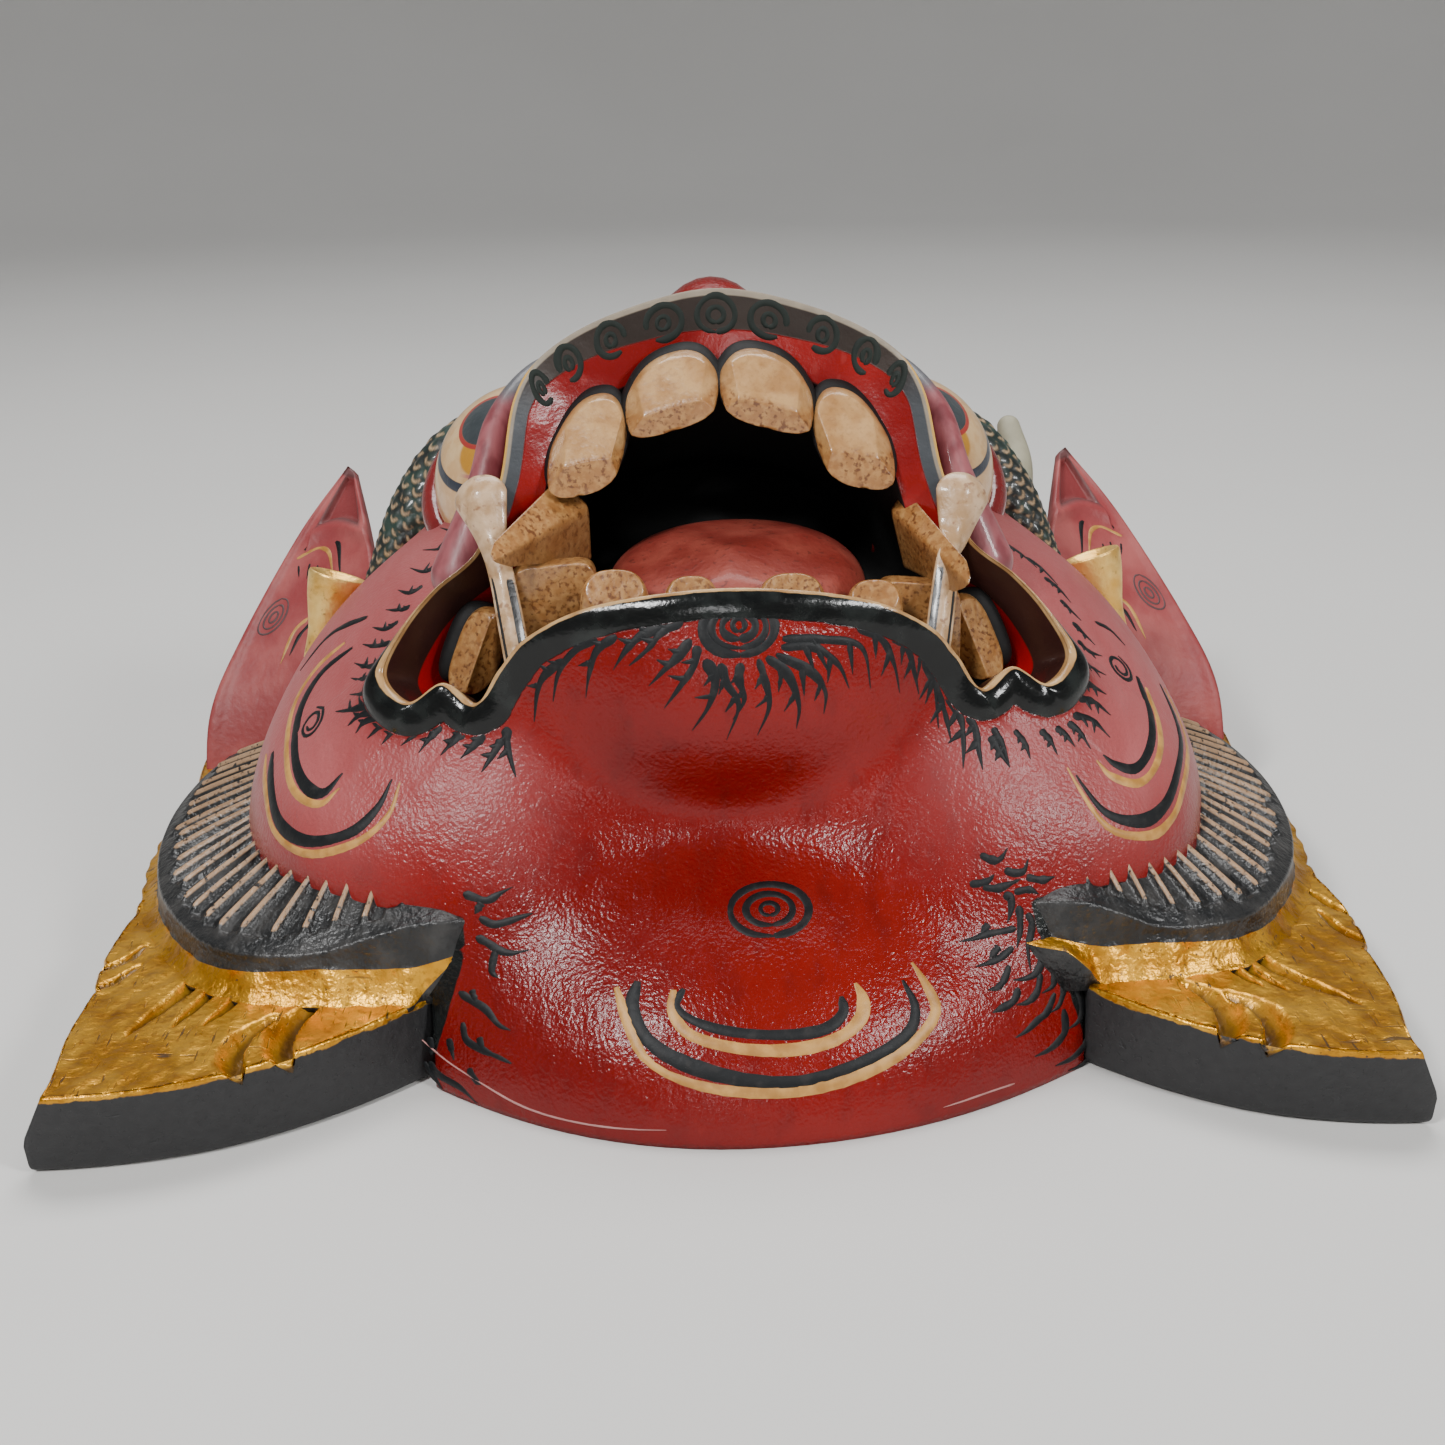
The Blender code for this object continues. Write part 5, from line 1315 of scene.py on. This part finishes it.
ear_rings = tuple(ring(0.82, 0.54, 0.10 * k, 0.045 * k, 0.8) for k in (1.0, 0.66, 0.3))
ear_grey, u = new_finish("ear_grey")
thin = u.noise(300.0, 3.0)
u.finish(u.mix(thin, (0.045, 0.022, 0.024), (0.090, 0.045, 0.046)), 0.5 + 0.1 * thin)
for side, name in ((1, "right"), (-1, "left")):
    painted(name + "_ear_black", brush_black, EAR_BLACK, ear_at, side)
    painted(name + "_ear_cream", brush_ochre, EAR_CREAM, ear_at, side)
    painted(name + "_ear_rings", ear_grey, ear_rings, ear_at, side)


def arch_at(lip, depth, raised):
    """Places inside the arch: how far round the lip, minus on the left, and how far in towards the gum."""
    number, stops = (lip % LIP_SPANS) * ROUND / LIP_SPANS, np.arange(ROUND + 1)
    start, middle, end = (
        np.stack([np.interp(number, stops, np.append(line[:, k], line[0, k])) for k in range(3)], -1)
        for line in (ridge, (ridge + gum) / 2 + inward * 2.0, gum))
    depth = depth[..., None]
    place = (1 - depth) ** 2 * start + 2 * depth * (1 - depth) * middle + depth**2 * end
    forward = unit(np.array((0.0, 20.0, 150.0)) - place)
    return place + forward * np.broadcast_to(raised, place.shape[:-1])[..., None]


scrolls = []
for lip_spot, turn in ((0.0, 0), (0.52, 1), (-0.52, -1), (1.1, -1), (-1.1, 1), (1.75, 1), (-1.75, -1),
                       (2.4, -1), (-2.4, 1)):
    if turn == 0:
        scrolls += [ring(lip_spot, 0.26, 0.19, 0.19, 1.7), ring(lip_spot, 0.26, 0.08, 0.08, 1.5)]
    else:
        scrolls.append(ring(lip_spot, 0.26, 0.19 * turn, 0.19, 2.0, 0.85, 60, 0.1))
        scrolls.append(ring(lip_spot, 0.26, 0.06, 0.07, 1.5))
scroll_green, u = new_finish("scroll_green")
thin = u.noise(300.0, 3.0)
u.finish(u.mix(thin, (0.004, 0.008, 0.006), (0.012, 0.018, 0.014)), 0.55 + 0.2 * thin, specular=0.3)
painted("arch_scrolls", scroll_green, scrolls, arch_at)


low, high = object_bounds()
{"cad": [list(corner) for corner in cad_box], "visual": [list(low), list(high)]}
